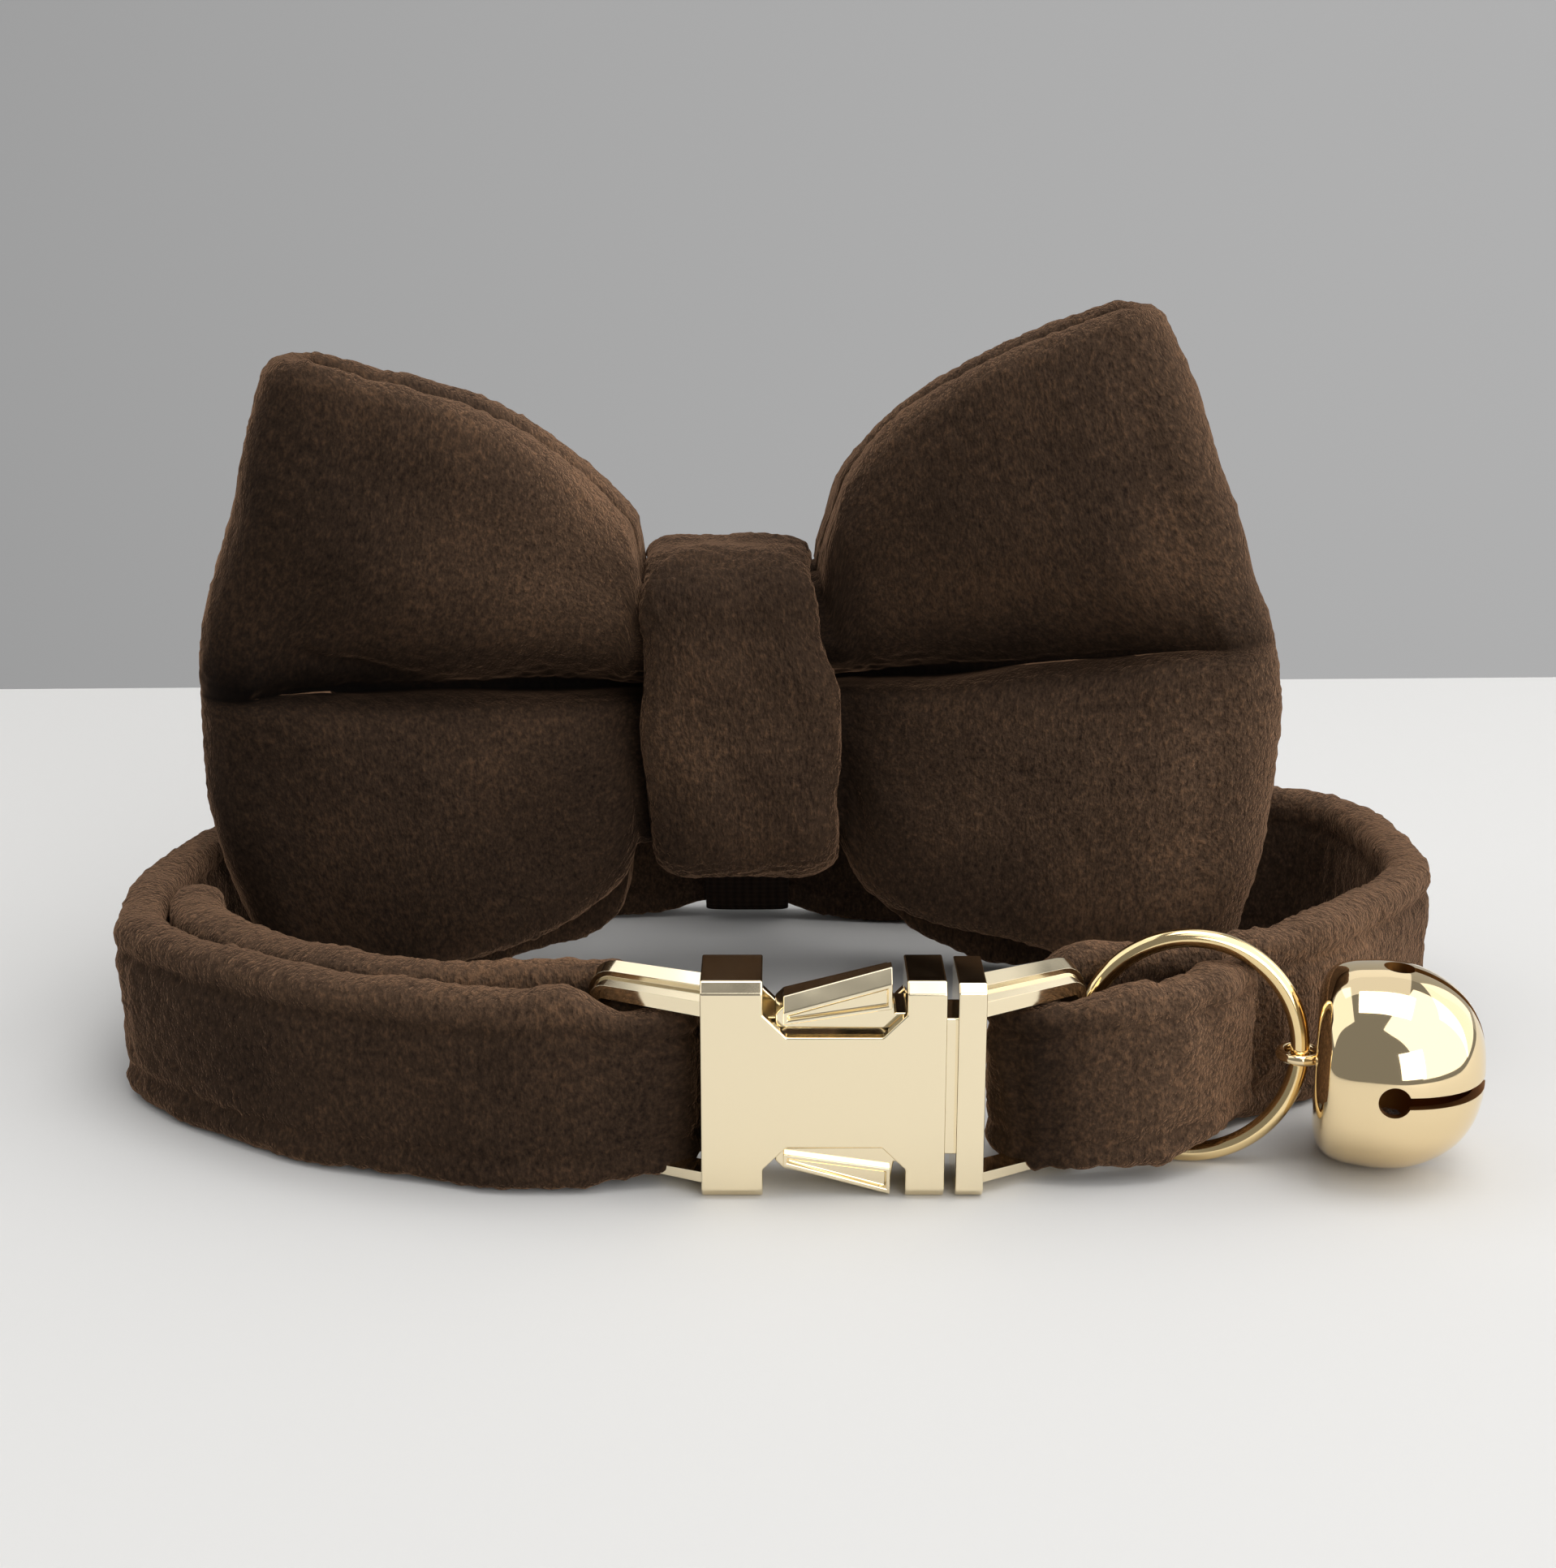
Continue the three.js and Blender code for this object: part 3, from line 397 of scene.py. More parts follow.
# The buckle's female half
# A flat side-release socket, die-cast in zinc alloy, tumbled smooth and plated in pale
# champagne gold. Its end frame, which the band is folded round, is cast in one with it.


def plating_material(name, hex_colour, roughness):
    """Thin bright plating over smooth cast metal: a polished metal with a faint waviness and
    slightly uneven gloss, as tumbling leaves it."""
    made = blank_material(name)
    tree = made.node_tree
    place = add(tree, "ShaderNodeTexCoord").outputs["Object"]
    # Clouds of 2.4 mm in the gloss, and waves of 6 mm in the surface.
    cloudy = add(tree, "ShaderNodeTexNoise",
                 {"Vector": place, "Scale": 420, "Detail": 4, "Roughness": 0.6})
    gloss = add(tree, "ShaderNodeMapRange", {
        "Value": cloudy.outputs[0], "From Min": 0.3, "From Max": 0.7,
        "To Min": roughness * 0.8, "To Max": roughness * 1.25})
    wavy = add(tree, "ShaderNodeTexNoise", {"Vector": place, "Scale": 160, "Detail": 1})
    bumps = add(tree, "ShaderNodeBump",
                {"Height": wavy.outputs[0], "Strength": 0.12, "Distance": 0.0004})
    shader = add(tree, "ShaderNodeBsdfPrincipled", {
        "Base Color": linear(hex_colour), "Metallic": 1.0, "Roughness": gloss.outputs[0],
        "Normal": bumps.outputs[0]})
    add(tree, "ShaderNodeOutputMaterial", {"Surface": shader.outputs["BSDF"]})
    return made


def casting(name, outline, front, back, wide_chamfer=(), chamfer=0.0, panel=()):
    """A flat outline in x and z, raised from front to back. wide_chamfer is a test on the edges
    of the front rim that get the broad chamfer, and panel the rim, depth and slope's width of a
    sunk front."""
    cast = bmesh.new()
    rings = [[cast.verts.new((x * MM, y * MM, z * MM)) for x, z in outline] for y in (front, back)]
    face = cast.faces.new(rings[0])
    cast.faces.new(rings[1][::-1])
    for k in range(len(outline)):
        n = (k + 1) % len(outline)
        cast.faces.new((rings[0][n], rings[0][k], rings[1][k], rings[1][n]))
    if chamfer:
        rims = [edge for edge in face.edges
                if wide_chamfer(*(vert.co.x / MM for vert in edge.verts),
                                *(vert.co.z / MM for vert in edge.verts))]
        bmesh.ops.bevel(cast, geom=rims, offset=chamfer * MM, segments=1, affect="EDGES",
                        offset_type="OFFSET")
    if panel:
        rim, depth, slope = panel
        front_face = min(cast.faces,
                         key=lambda f: (round(f.calc_center_median().y, 6), -f.calc_area()))
        bmesh.ops.inset_region(cast, faces=[front_face], thickness=rim * MM, use_even_offset=True)
        bmesh.ops.inset_region(cast, faces=[front_face], thickness=slope * MM, depth=-depth * MM,
                               use_even_offset=True)
    bmesh.ops.recalc_face_normals(cast, faces=cast.faces)
    mesh = bpy.data.meshes.new(name)
    cast.to_mesh(mesh)
    cast.free()
    made = bpy.data.objects.new(name, mesh)
    bpy.context.scene.collection.objects.link(made)
    return made


def soften(piece, radius, material):
    """Rounds every sharp edge of a hard piece and gives it its material."""
    piece.data.polygons.foreach_set("use_smooth", np.ones(len(piece.data.polygons), bool))
    piece.data.materials.clear()
    piece.data.materials.append(material)
    rounding = piece.modifiers.new("tumbled_edges", "BEVEL")
    rounding.width = radius * MM
    rounding.segments = 3
    rounding.limit_method = "ANGLE"
    rounding.angle_limit = math.radians(28)
    rounding.harden_normals = True


def cut_away(piece, cutters):
    """Cuts the cutters' shapes out of the piece, at 1 unit to the millimetre, and removes them."""
    for shape in (piece, *cutters):
        shape.data.transform(Matrix.Scale(1 / MM, 4))
    for cutter in cutters:
        step = piece.modifiers.new("cut", "BOOLEAN")
        step.operation = "DIFFERENCE"
        step.solver = "EXACT"
        step.material_mode = "TRANSFER"
        step.object = cutter
    bpy.context.view_layer.update()
    depsgraph = bpy.context.evaluated_depsgraph_get()
    cut = bpy.data.meshes.new_from_object(piece.evaluated_get(depsgraph))
    piece.modifiers.clear()
    cut.transform(Matrix.Scale(MM, 4))
    piece.data = cut
    for cutter in cutters:
        bpy.data.objects.remove(cutter)


def end_frame(name, root, crossbar):
    """The frame that the band folds round: one bar, swept from the buckle along its bottom edge,
    up the crossbar and back along its top edge. The bar's outer edge slopes forward to a sunk
    ledge along its front, and it is tallest along the top."""
    low, high = 0.95, 14.95
    along = np.array([crossbar[0] - root[0], crossbar[1] - root[1]])
    reach = np.linalg.norm(along)
    along = along / reach
    side = np.array([-along[1], along[0], 0])
    bend = 1.35
    turns = np.linspace(0, math.pi / 2, 7)
    path = [(0, low)]
    path += [(reach - bend + bend * math.sin(t), low + bend - bend * math.cos(t)) for t in turns]
    path += [(reach - bend + bend * math.cos(t), high - bend + bend * math.sin(t)) for t in turns]
    path = np.array(path + [(0, high)])
    heading = np.gradient(path, axis=0)
    heading /= np.linalg.norm(heading, axis=1)[:, None]
    outward = np.stack([heading[:, 1], -heading[:, 0]], 1)
    # Height out from the frame's middle, and depth from front to back, in shares of half the bar.
    section = np.array([(1, -1), (0.58, 0.05), (0.22, 0), (-0.1, 1), (-1, 1), (-1, -1)])
    tall = np.interp(path[:, 1], [low, high - 1.5, high], [0.85, 0.95, 1.25])
    tall = tall - 0.15 * np.interp(path[:, 0], [0, reach], [0, 1])
    place = path[:, None, :] + outward[:, None, :] * section[None, :, 0:1] * tall[:, None, None]
    centre = np.array([root[0], root[1], 0])
    front = -side if side[1] > 0 else side
    grid = (centre + place[..., 0:1] * np.array([along[0], along[1], 0])
            + place[..., 1:2] * np.array([0, 0, 1]) + section[None, :, 1:2] * front * 1.05)
    return skin(name, grid, np.arange(len(path)), np.arange(7), False, gold)


# Tumbled before plating, so it shines softly and mirrors no sharp edge.
gold = plating_material("champagne_gold_plating", "fcedcb", 0.11)
BUCKLE_TOP = 16.4
BUCKLE_FRONT = -34
BUCKLE_BACK = -27.6


def mirrored(outline):
    """The same outline, upside down about the buckle's middle height."""
    return [(x, BUCKLE_TOP - z) for x, z in reversed(outline)]


notch = [(10.9, 16.4), (8.1, 16.4), (8.1, 14.1), (6.4, 12.4),
         (-0.4, 12.4), (-2.1, 14.1), (-2.1, 16.4), (-6.5, 16.4)]
socket = casting(
    "socket_body", notch + mirrored(notch), BUCKLE_FRONT, BUCKLE_BACK,
    lambda x1, x2, z1, z2: min(z1, z2) > 16.3 or max(z1, z2) < 0.1, 0.75)
cavity = casting("cavity", [(-3.2, 2), (12, 2), (12, 14.4), (-3.2, 14.4)], -33.1, -28.5)
cut_away(socket, [cavity])
soften(socket, 0.16, gold)
socket_frame = end_frame("socket_frame", (-5.5, -32.5), (-14.3, -28.4))
soften(socket_frame, 0.1, gold)
for piece in (socket, socket_frame):
    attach(piece, "root")
    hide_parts("buckle_socket")

# The buckle's male half
# Cast and plated like the socket. A flat tongue and two springy arms run inside the socket, and
# the arms' ends stand up in its notches as the release tabs that are squeezed to open it.
plug_bar = casting(
    "plug_bar", [(11.7, 0.1), (13.7, 0.1), (13.7, 16.3), (11.7, 16.3)], BUCKLE_FRONT, BUCKLE_BACK,
    lambda x1, x2, z1, z2: min(z1, z2) > 16.2 or max(z1, z2) < 0.2, 0.6)
plug_neck = casting("plug_neck", [(10.2, 3), (12.2, 3), (12.2, 13.4), (10.2, 13.4)], -32.8, -28.8)
plug_tongue = casting("plug_tongue", [(-2.6, 4.7), (10.6, 4.7), (10.6, 11.7), (-2.6, 11.7)],
                      -32.7, -28.9)
arm = [(-1.2, 12.8), (10.8, 12.7), (10.8, 13.9), (7.3, 13.9), (6.9, 16.3), (-0.6, 14.4), (-1.2, 13.8)]
plug_arms = [casting("plug_arm_" + name, outline, -33.0, -28.9)
             for name, outline in (("upper", arm), ("lower", mirrored(arm)))]
upper_tab = [(-0.63, 13.15), (7.05, 14.35), (7.05, 17.2), (-0.63, 15.0)]
lower_tab = [(-0.63, 2.3), (7.05, 0.15), (7.05, 2.2), (-0.63, 3.3)]
tabs = [casting("release_tab_" + name, outline, -33.5, -31.4, test, chamfer, (0.26, 0.3, 0.14))
        for name, outline, chamfer, test in (
            ("upper", upper_tab, 0.9, lambda x1, x2, z1, z2: min(z1, z2) > 14.9 and abs(x1 - x2) > 2),
            ("lower", lower_tab, 0.1, lambda x1, x2, z1, z2: max(z1, z2) < 2.4 and abs(x1 - x2) > 2))]
plug_frame = end_frame("plug_frame", (13, -32.5), (20.9, -27.7))
for piece in (plug_bar, plug_neck, plug_tongue, *plug_arms, *tabs, plug_frame):
    soften(piece, 0.12, gold)
    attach(piece, "root")
    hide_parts("buckle_plug")

# The ring
# Round steel wire, bent into a ring, welded shut and plated like the buckle. It stands on edge
# between the band's two layers, a little turned and leaning.
RING_TURN = math.radians(5)
RING_LEAN = math.radians(9)
RING_CENTRE = np.array([29.5, -26, 8.7])
# To the middle of the wire, and half the wire's own thickness.
RING_RADIUS, RING_WIRE = 8.05, 0.7


def wire_ring(name, radius, wire, turn, lean, centre, material, rows, columns):
    """A torus: a wire's circle swept round a ring's circle, leaned back and turned in plan."""
    a = np.linspace(0, 2 * np.pi, rows, endpoint=False)[:, None]
    b = np.linspace(0, 2 * np.pi, columns, endpoint=False)[None, :]
    x = (radius + wire * np.cos(b)) * np.cos(a)
    up = (radius + wire * np.cos(b)) * np.sin(a)
    out = wire * np.sin(b) + 0 * a
    tilt = math.pi / 2 - lean
    y = up * math.cos(tilt) - out * math.sin(tilt)
    z = up * math.sin(tilt) + out * math.cos(tilt)
    grid = np.stack([x * math.cos(turn) + y * math.sin(turn),
                     y * math.cos(turn) - x * math.sin(turn), z], 2)
    u = np.linspace(0, 2 * np.pi * radius, rows + 1)
    v = np.linspace(0, 2 * np.pi * wire, columns + 1)
    return skin(name, grid + centre, u, v, True, material)


# Drawn wire is smoother than a casting, so the ring gleams more. Its warmer yellow is partly the
# plating's own colour and partly a painted reflection of the brown velvet round it.
ring_gold = plating_material("warm_gold_ring_plating", "f8dda6", 0.09)
collar_ring = wire_ring("ring", RING_RADIUS, RING_WIRE, RING_TURN, RING_LEAN, RING_CENTRE,
                        ring_gold, 180, 28)
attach(collar_ring, "root")
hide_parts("collar_ring")

# The bell
# A jingle bell, pressed from two cups of thin brass, plated and highly polished. Four slots run
# from round holes to its end, and a wire loop at the other end hangs on the ring.
# Polished before plating, so it mirrors the lights. Its bare inner wall is dull and brown.
bright_gold = plating_material("polished_gold_bell_plating", "f5deb2", 0.045)
raw_brass = plating_material("raw_brass_inside", "a0703a", 0.42)
# From the flat end by the ring to the slotted end, in shares of the length and of the radius.
BELL_OUTLINE = np.array([
    (0, 0), (0, 0.55), (0.004, 0.66), (0.02, 0.76), (0.05, 0.85), (0.1, 0.925), (0.18, 0.97),
    (0.28, 0.99), (0.4, 1), (0.55, 0.975), (0.7, 0.885), (0.83, 0.74), (0.92, 0.555),
    (0.975, 0.33), (1, 0)])
BELL_RADIUS = 7.65
BELL_LENGTH = 12.2
BELL_WALL = 0.7
BELL_TURN = math.radians(13)
SLOT_START = 5.6
HALF_SLOT = 0.45
SLOT_REACH = 8
HOLE_RADIUS = 1.15
THROUGH = 20
# The middle of the flat end, the way the bell points, and the way its front slot faces.
BELL_FLAT = np.array([38.85, -26, 7.7])
BELL_AXIS = np.array([math.cos(BELL_TURN), -math.sin(BELL_TURN), 0])
BELL_FRONT = np.array([-math.sin(BELL_TURN), -math.cos(BELL_TURN), 0])


def bell_cup():
    """The outline is smoothed through its points, then turned round the bell's axis. The inner
    wall is the same outline, BELL_WALL further in all round."""
    at = np.linspace(0, len(BELL_OUTLINE) - 1, 110)
    curve = spline(BELL_OUTLINE, at)
    curve[:, 1] = np.clip(curve[:, 1], 0.0006, 1)
    outer = np.stack([curve[:, 0] * BELL_LENGTH, curve[:, 1] * BELL_RADIUS], 1)
    inner = np.stack([BELL_WALL + curve[:, 0] * (BELL_LENGTH - 2 * BELL_WALL),
                      curve[:, 1] * (BELL_RADIUS - BELL_WALL)], 1)
    turn = np.linspace(0, 2 * np.pi, 192, endpoint=False)
    outward = np.cos(turn)[:, None] * BELL_FRONT + np.sin(turn)[:, None] * np.array([0, 0, 1])
    u, v = np.arange(len(curve)), np.arange(len(turn) + 1)
    shells = []
    for name, profile, finish in (("bell_shell", outer, bright_gold),
                                  ("bell_inside", inner, raw_brass)):
        grid = BELL_FLAT + profile[:, None, :1] * BELL_AXIS + profile[:, None, 1:] * outward[None]
        shells.append(skin(name, grid, u, v, False, finish))
    return shells


def laid_cutter(name, half_sizes, centre_along, round_hole):
    """A slot's box or a hole's rod, laid across the bell's axis, to be cut away."""
    made = bmesh.new()
    if round_hole:
        bmesh.ops.create_cone(made, cap_ends=True, segments=48, radius1=half_sizes[0] * MM,
                              radius2=half_sizes[0] * MM, depth=2 * THROUGH * MM)
    else:
        bmesh.ops.create_cube(made, size=2 * MM)
        bmesh.ops.scale(made, vec=half_sizes, verts=made.verts)
    mesh = bpy.data.meshes.new(name)
    made.to_mesh(mesh)
    made.free()
    mesh.materials.append(raw_brass)
    cutter = bpy.data.objects.new(name, mesh)
    bpy.context.scene.collection.objects.link(cutter)
    axes = Matrix((BELL_AXIS, -BELL_FRONT, (0, 0, 1))).transposed().to_4x4()
    if round_hole and name.endswith("front"):
        axes = axes @ Matrix.Rotation(math.pi / 2, 4, "X")
    middle = Vector(BELL_FLAT + BELL_AXIS * centre_along) * MM
    cutter.data.transform(Matrix.Translation(middle) @ axes)
    return cutter


bell, hollow = bell_cup()
# Each cutter goes right through, so the two slots and two holes make four of each.
slots = [laid_cutter("slot_front", (SLOT_REACH, THROUGH, HALF_SLOT), SLOT_START + SLOT_REACH, False),
         laid_cutter("slot_top", (SLOT_REACH, HALF_SLOT, THROUGH), SLOT_START + SLOT_REACH, False),
         laid_cutter("hole_front", (HOLE_RADIUS, 0, 0), SLOT_START, True),
         laid_cutter("hole_top", (HOLE_RADIUS, 0, 0), SLOT_START, True)]
cut_away(bell, [hollow, *slots])
bell.data.set_sharp_from_angle(angle=math.radians(32))
# The shank lies flat round the ring's right-hand side.
shank_place = RING_CENTRE + RING_RADIUS * np.array([math.cos(RING_TURN), -math.sin(RING_TURN), 0])
shank_place[2] = 8.3
bell_shank = wire_ring("bell_shank", 1.4, 0.4, 0, math.pi / 2, shank_place, bright_gold, 64, 20)
for piece in (bell, bell_shank):
    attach(piece, "root")
    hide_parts("bell")

# The pea in the bell
# A small ball of plain steel that lies loose on the bell's inner wall and makes the sound. It is
# put in before the slotted end is pressed shut. The CAD solid stays, in a dull grey finish.
steel = plating_material("plain_steel_ball", "b9b4ab", 0.28)
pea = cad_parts["bell_ball"]
pea.data.materials.clear()
pea.data.materials.append(steel)

# The keeper
# A loop of flat woven elastic, sewn behind the knot and passed round the band, so that the bow
# can be slid off. It is dark brown and 8 mm wide, and from the front shows only below the knot.


def elastic_material():
    """Woven elastic: close ribs along its length, crossed by fainter threads, dark and matt."""
    made = blank_material("dark_brown_woven_elastic")
    tree = made.node_tree
    cloth = add(tree, "ShaderNodeUVMap", uv_map="cloth").outputs["UV"]
    # A rib every 0.8 mm across the width, and crossing threads every 0.5 mm along it.
    ribs = add(tree, "ShaderNodeTexWave", {"Vector": cloth, "Scale": 390, "Distortion": 0.3},
               wave_type="BANDS", bands_direction="Y")
    threads = add(tree, "ShaderNodeTexWave", {"Vector": cloth, "Scale": 620, "Distortion": 0.6},
                  wave_type="BANDS", bands_direction="X")
    weave = add(tree, "ShaderNodeMix",
                {"Factor": 0.35, "A": ribs.outputs[1], "B": threads.outputs[1]})
    colours = add(tree, "ShaderNodeValToRGB", {"Fac": weave.outputs[0]})
    colours.color_ramp.elements[0].color = linear("1a120d")
    colours.color_ramp.elements[1].color = linear("281d15")
    bumps = add(tree, "ShaderNodeBump",
                {"Height": weave.outputs[0], "Strength": 0.8, "Distance": 0.0002})
    shader = add(tree, "ShaderNodeBsdfPrincipled", {
        "Base Color": colours.outputs[0], "Roughness": 0.9, "Specular IOR Level": 0.1,
        "Normal": bumps.outputs[0]})
    add(tree, "ShaderNodeOutputMaterial", {"Surface": shader.outputs["BSDF"]})
    return made


def keeper_loop():
    """A rounded rectangle in y and z, with the flat ribbon's rounded section swept round it."""
    front, back, bottom, top = 25.7, 33.6, 0.9, 15.4
    half_width, half_thick = 4, 0.44
    inset = 0.45
    corner = 2 - inset
    turns = np.linspace(0, math.pi / 2, 14)
    corners = ((back, bottom, -1, 1), (back, top, -1, -1), (front, top, 1, -1), (front, bottom, 1, 1))
    path = []
    for quarter, (y, z, to_y, to_z) in enumerate(corners):
        centre = np.array([y, z]) + np.array([to_y, to_z]) * (inset + corner)
        angle = turns + (quarter - 1) * math.pi / 2
        path.append(centre + corner * np.stack([np.cos(angle), np.sin(angle)], 1))
    path = np.vstack([*path, path[0][:1]])
    at = travelled(path)
    along = np.linspace(0, at[-1], 221)
    line = np.stack([np.interp(along, at, path[:, k]) for k in (0, 1)], 1)[:-1]
    # Below the knot, the front of the loop lies back against the band.
    line[:, 0] += np.where(line[:, 0] < 29, 2.3 * np.clip((10 - line[:, 1]) / 7, 0, 1), 0)
    heading = np.roll(line, -1, axis=0) - np.roll(line, 1, axis=0)
    heading /= np.linalg.norm(heading, axis=1)[:, None]
    outward = np.stack([heading[:, 1], -heading[:, 0]], 1)
    turn = np.linspace(0, 2 * np.pi, 56, endpoint=False)
    across = -half_width + half_width * np.sign(np.cos(turn)) * np.abs(np.cos(turn)) ** 0.5
    lift = half_thick * np.sign(np.sin(turn)) * np.abs(np.sin(turn)) ** 0.4
    flat = line[:, None, :] + outward[:, None, :] * lift[None, :, None]
    grid = np.concatenate([np.broadcast_to(across[None, :, None], flat.shape[:2] + (1,)), flat], 2)
    v = np.append(across, across[0]) + 2 * half_width + np.append(lift, lift[0])
    return skin("elastic_keeper", grid, along, v, True, elastic_material())


keeper = keeper_loop()
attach(keeper, "root")
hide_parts("bow_keeper")

# The bow's wings
# A wide strip of the same velvet over thin wadding, sewn into a flat loop and pinched across
# its middle, so that each side opens into a lobe with one long crease.
BOW_X = -4.2
BOW_Y = 15.2
# Share of each half, from the middle out, that the knot hides.
KNOT_SHARE = 0.22
# Columns: place from the knot's middle to the end fold, bottom of the front layer and of the
# back layer, crease, top, and thickness of a layer.
LEFT_ROWS = np.array([
    (0, 13.4, 13.4, 26.4, 36.8, 6), (0.25, 13.2, 13.2, 27, 36.8, 6),
    (0.27, 10.4, 8.6, 27.1, 41.2, 6.4), (0.3, 8.9, 5.2, 27.2, 42.6, 6.8),
    (0.42, 6.6, 2.6, 27.6, 46.9, 7.4), (0.6, 5, 2.2, 28.1, 51.2, 7.6),
    (0.8, 3.4, 2.6, 28.6, 54.2, 6.8), (1, 4.2, 4.2, 29.1, 56.4, 4.6)])
RIGHT_ROWS = np.array([
    (0, 13.4, 13.4, 26.4, 36.8, 6), (0.22, 13.2, 13.2, 27.8, 36.8, 6),
    (0.25, 11.4, 10.4, 27.9, 41.6, 6.3), (0.27, 10, 8.4, 28, 45.2, 6.6),
    (0.3, 8.8, 7.2, 28.2, 46.8, 6.9), (0.42, 7, 2.9, 28.8, 50.7, 7.4),
    (0.6, 5.4, 1.2, 30, 54.9, 7.6), (0.8, 3.8, 2, 31.2, 57.9, 6.8),
    (1, 4.2, 4.2, 32.4, 60.4, 4.6)])
# How far the end fold reaches at each height: bottom -1, crease 0, top 1.
LEFT_REACH = np.array([
    (-1, -45), (-0.6, -48.1), (-0.2, -49.4), (0.05, -49.4), (0.35, -47.9), (0.64, -45.6), (1, -42.2)])
RIGHT_REACH = np.array([
    (-1, 39.5), (-0.65, 41.3), (-0.25, 42), (0.03, 41.5), (0.25, 39), (0.5, 36.5), (0.8, 33.3),
    (1, 30.7)])
# Share of a layer's full thickness at each height. The upper half rolls deep into the crease,
# and the lower half starts just below it as a full lip.
PUFF = np.array([
    (-1, 0.55), (-0.94, 0.72), (-0.78, 0.9), (-0.5, 1), (-0.3, 1), (-0.16, 0.94), (-0.07, 0.84),
    (-0.03, 0.7), (-0.01, 0.45), (0.004, 0.16), (0.02, 0.16), (0.05, 0.26), (0.1, 0.43),
    (0.18, 0.66), (0.3, 0.87), (0.48, 1), (0.78, 0.92), (0.94, 0.72), (1, 0.55)])


def smooth(x, y, at):
    """Monotone cubic curve through the points x, y, so it never overshoots them."""
    step = np.diff(x)
    slope = np.diff(y) / step
    rising = slope[:-1] * slope[1:] > 0
    before, after = np.where(rising, slope[:-1], 1), np.where(rising, slope[1:], 1)
    w1, w2 = 2 * step[1:] + step[:-1], step[1:] + 2 * step[:-1]
    inner = np.where(rising, (w1 + w2) / (w1 / before + w2 / after), 0)
    m = np.concatenate([[slope[0]], inner, [slope[-1]]])
    i = np.clip(np.searchsorted(x, at, side="right") - 1, 0, len(step) - 1)
    t = np.clip((at - x[i]) / step[i], 0, 1)
    h = step[i]
    return (y[i] * (1 + 2 * t) * (1 - t) ** 2 + y[i + 1] * t * t * (3 - 2 * t)
            + h * t * (1 - t) * (m[i] * (1 - t) - m[i + 1] * t))


def lobe(rows, reach, drop, level, side, out, turn, up, face):
    """Points of one lobe. out runs from the knot to the end fold and turn from the front layer
    to the back one. up is the height and face the side of the layer: 1 outer, -1 inner.
    x runs out to the end fold and swings round it, z runs from the bottom over the crease to the
    top, and y is the lobe's middle less the layer's own offset. That middle comes forward from
    BOW_Y by drop on its way to the end, less level times the square of the way."""
    out, turn, up, face = np.broadcast_arrays(out, turn, up, face)
    front, back, crease, top, thick = (smooth(rows[:, 0], rows[:, k], out) for k in range(1, 6))
    bottom = front + (back - front) * (1 - np.cos(turn)) / 2
    free = np.clip((out - KNOT_SHARE) / (1 - KNOT_SHARE), 0, 1)
    middle = BOW_Y - drop * free + level * free ** 2
    share = smooth(PUFF[:, 0], PUFF[:, 1], up)
    faint = 0.97 - 0.13 * bump_at(up, 0, 0.03)
    share = share + (np.maximum(share, faint) - share) * out ** 8 * (np.abs(up) < 0.6)
    rim = np.clip((np.abs(up) - 0.95) / 0.05, 0, 1)
    roll = (1 - rim ** 2.3) ** (1 / 2.3)
    half = share * thick / 2
    offset = 0.5 + 0.5 * out + half * (1 + face * roll)
    radius = 1.2 + share * rows[-1, 5]
    end = smooth(reach[:, 0], reach[:, 1], up) - side * radius
    z = np.where(up < 0, crease + (bottom - crease) * -up, crease + (top - crease) * up)
    x = BOW_X + (end - BOW_X) * out + side * offset * np.sin(turn)
    return np.stack([x, middle - offset * np.cos(turn), z], -1)


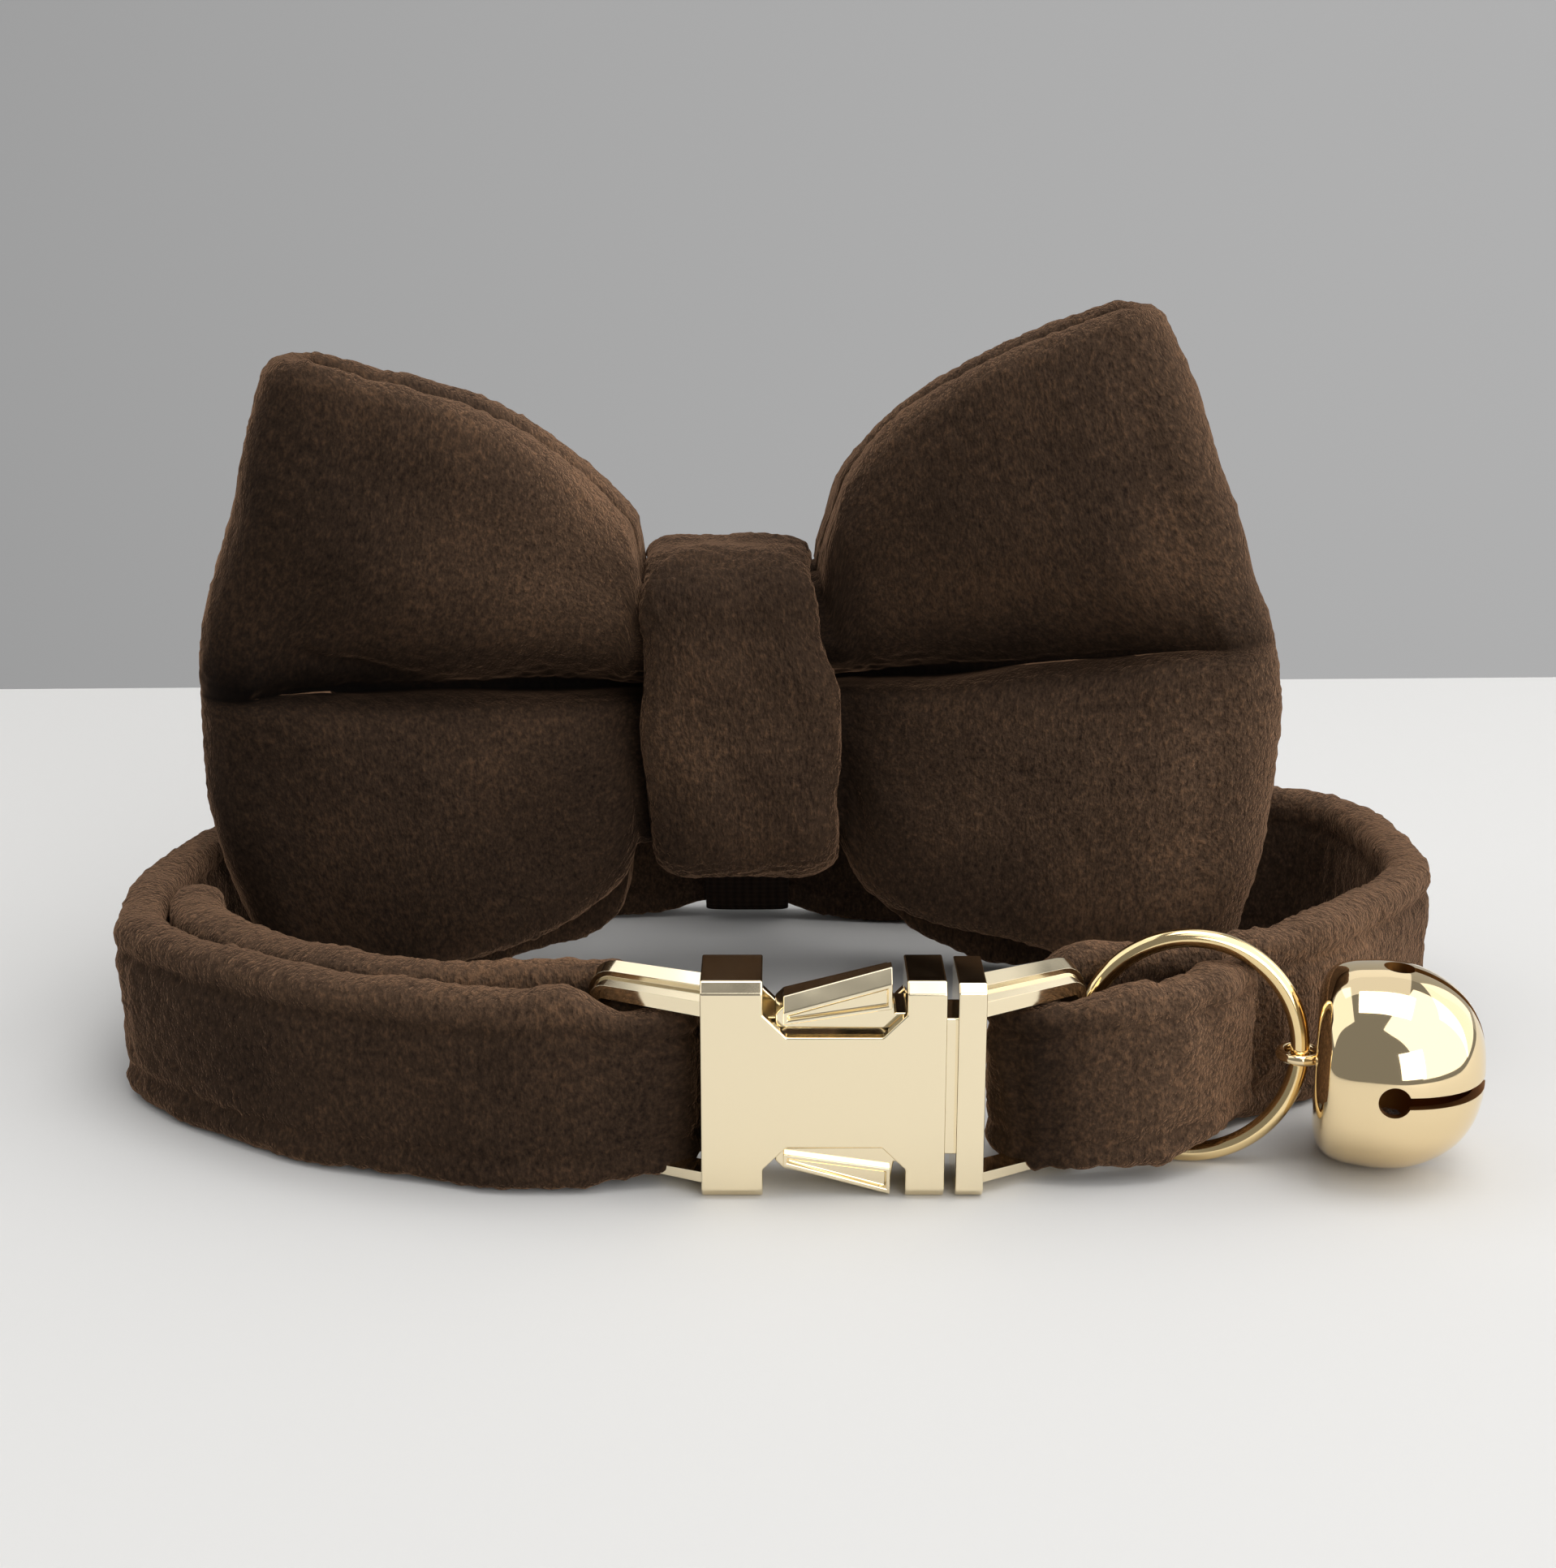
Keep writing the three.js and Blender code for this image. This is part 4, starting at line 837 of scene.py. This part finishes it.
def bow_wings():
    """Stations run round the whole loop: out along the left front, round the end fold, back
    along the left back, and the same on the right. Columns go up the outer and down the inner
    side of the layer."""
    stations = np.concatenate([np.linspace(0, 0.2, 6), np.linspace(KNOT_SHARE, 1, 92)])
    fold = np.linspace(0, np.pi, 26)[1:-1]
    out = np.concatenate([stations, np.ones(len(fold)), stations[::-1]])
    turn = np.concatenate([np.zeros(len(stations)), fold, np.full(len(stations), np.pi)])

    def heights(count):
        """Heights from -1 to 1, closest together at the crease and at both edges."""
        even = np.linspace(-1, 1, count)
        return even - 0.125 * np.sin(2 * np.pi * even)

    outer, inner = heights(128), heights(48)[-2:0:-1]
    up = np.concatenate([outer, inner])[None, :]
    face = np.concatenate([np.ones(len(outer)), -np.ones(len(inner))])[None, :]
    left = lobe(LEFT_ROWS, LEFT_REACH, 12, -0.2, -1, out[:, None], turn[:, None], up, face)
    right = lobe(RIGHT_ROWS, RIGHT_REACH, 12, 4.8, 1, out[:, None], turn[:, None], up, face)
    grid = np.concatenate([left[:-1], right[::-1][:-1]])
    # The cloth is measured along the outer side just below the crease, and round one cut.
    u, v = travelled(grid[:, 60], closed=True), travelled(grid[70], closed=True)
    piece = skin("velvet_wings", grid, u, v, True, velvet)
    out_all = np.concatenate([out[:-1], out[::-1][:-1]])
    out_flat = np.repeat(out_all, grid.shape[1])
    up_flat = np.tile(up[0], grid.shape[0])

    def gathers(points):
        """Pile, slow unevenness, folds that fan out from the knot, and on the left faint upright
        folds by the end and one small tuck that runs up out of the crease."""
        near = np.exp(-np.clip(out_flat - 0.24, 0, 1) / 0.16) * np.clip((out_flat - 0.2) * 20, 0, 1)
        fan = np.sin(up_flat * 9 + 0.8 * grain(points, 16, 31)) * np.clip(np.abs(up_flat) * 4, 0, 1)
        calm = 1 - 0.85 * np.exp(-np.abs(up_flat) / 0.04)
        on_left = points[:, 0] < BOW_X
        upright = (on_left * (up_flat > 0) * bump_at(out_flat, 0.85, 0.13)
                   * np.sin(out_flat * 48 + 0.7 * up_flat))
        tuck = (on_left * bump_at(up_flat, 0.05 + 0.3 * (out_flat - 0.6), 0.02)
                * bump_at(out_flat, 0.78, 0.14))
        return (calm * nap_height(points) + 0.22 * grain(points, 14, 32) + 0.3 * near * fan
                + 0.12 * upright - 0.45 * tuck)

    raise_surface(piece, gathers)
    # Painted shade in the crease, by the knot and over the left end. Painted light beside the knot on
    # the left, in the middle of the lower right half, along both end folds' upper edges and on the
    # top and bottom rims.
    crease = np.where(up_flat > 0, 1.1 * np.exp(-np.abs(up_flat) / 0.16),
                      np.exp(-np.abs(up_flat) / 0.02))
    knot_shade = np.exp(-np.clip(out_flat - 0.22, 0, 1) / 0.05)
    on_left = grid.reshape(-1, 3)[:, 0] < BOW_X
    dark_end = (0.4 * np.clip((out_flat - 0.7) / 0.3, 0, 1)
                + 0.5 * bump_at(out_flat, 0.75, 0.25) * bump_at(up_flat, -0.9, 0.35))
    pale_left = 1.1 * bump_at(out_flat, 0.36, 0.2) * np.clip((up_flat - 0.15) * 3, 0, 1)
    pale_right = 1.15 * bump_at(up_flat, -0.42, 0.3) * np.clip((out_flat - 0.3) * 4, 0, 1)
    pale_fold = 0.6 * bump_at(out_flat, 1.02, 0.14)
    rims = 0.6 * np.clip((np.abs(up_flat) - 0.9) / 0.1, 0, 1)
    paint_shading(piece, crease * (1 - 0.3 * out_flat ** 6) + 0.5 * knot_shade - rims
             + np.where(on_left, dark_end - pale_left, -pale_right - pale_fold))
    return piece


wings = bow_wings()
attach(wings, "root")
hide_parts("bow_wings")

# The knot
# A short padded velvet band, wrapped round the pinched middle and sewn shut behind. Its pile
# runs up and down, and it is pulled tight, so its top edge dips between the lobes.
upright_velvet = velvet_material("brown_velvet_with_upright_nap", "along")
# Columns: share of the knot's height, left edge and right edge.
KNOT_EDGES = np.array([(0, -12, 4.2), (0.5, -12.7, 4.4), (0.8, -12.6, 2.8), (1, -12.5, 1.6)])
KNOT_LOW, KNOT_HIGH = 10.2, 40
KNOT_DEPTH = 21.5
KNOT_WALL = 2.5


def bow_knot():
    """A rounded square in y and z swept by the band's padded cut. The cut bulges outwards and
    thins to rounded edges, and the loop's top sinks in the middle."""
    angle = np.linspace(0, 2 * np.pi, 260, endpoint=False)[:, None]
    to_back = np.sign(np.cos(angle)) * np.abs(np.cos(angle)) ** 0.48
    to_top = np.sign(np.sin(angle)) * np.abs(np.sin(angle)) ** 0.48
    turn = np.linspace(0, 2 * np.pi, 132, endpoint=False)[None, :]
    across = np.cos(turn)
    swell = np.sqrt(np.clip(1 - np.abs(across) ** 3.2, 0, 1))
    thick = np.where(np.sin(turn) >= 0, 0.15 + 0.85 * swell, 0.15 - 0.15 * swell)
    inset = KNOT_WALL * (1 - thick)
    up = (to_top + 1) / 2
    left = smooth(KNOT_EDGES[:, 0], KNOT_EDGES[:, 1], up)
    right = smooth(KNOT_EDGES[:, 0], KNOT_EDGES[:, 2], up)
    x = (left + right) / 2 + across * (right - left) / 2
    y = BOW_Y + (KNOT_DEPTH / 2 - inset) * to_back
    z = (KNOT_LOW + KNOT_HIGH) / 2 + ((KNOT_HIGH - KNOT_LOW) / 2 - inset) * to_top
    z = z - 0.7 * np.clip((to_top - 0.7) / 0.3, 0, 1) * (1 - across ** 2)
    grid = np.stack([x, y, z + 0 * x], 2)
    # The cloth is measured along the middle of the outer side, and round one cut.
    u, v = travelled(grid[:, 33], closed=True), travelled(grid[130], closed=True)
    piece = skin("velvet_knot", grid, u, v, True, upright_velvet)
    raise_surface(piece, lambda points: nap_height(points) + 0.16 * grain(points, 7, 41))
    # Painted light makes the knot paler about its middle height.
    paint_shading(piece, -0.75 * bump_at(grid[..., 2].ravel(), 23, 9))
    return piece


knot = bow_knot()
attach(knot, "root")
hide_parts("bow_knot")
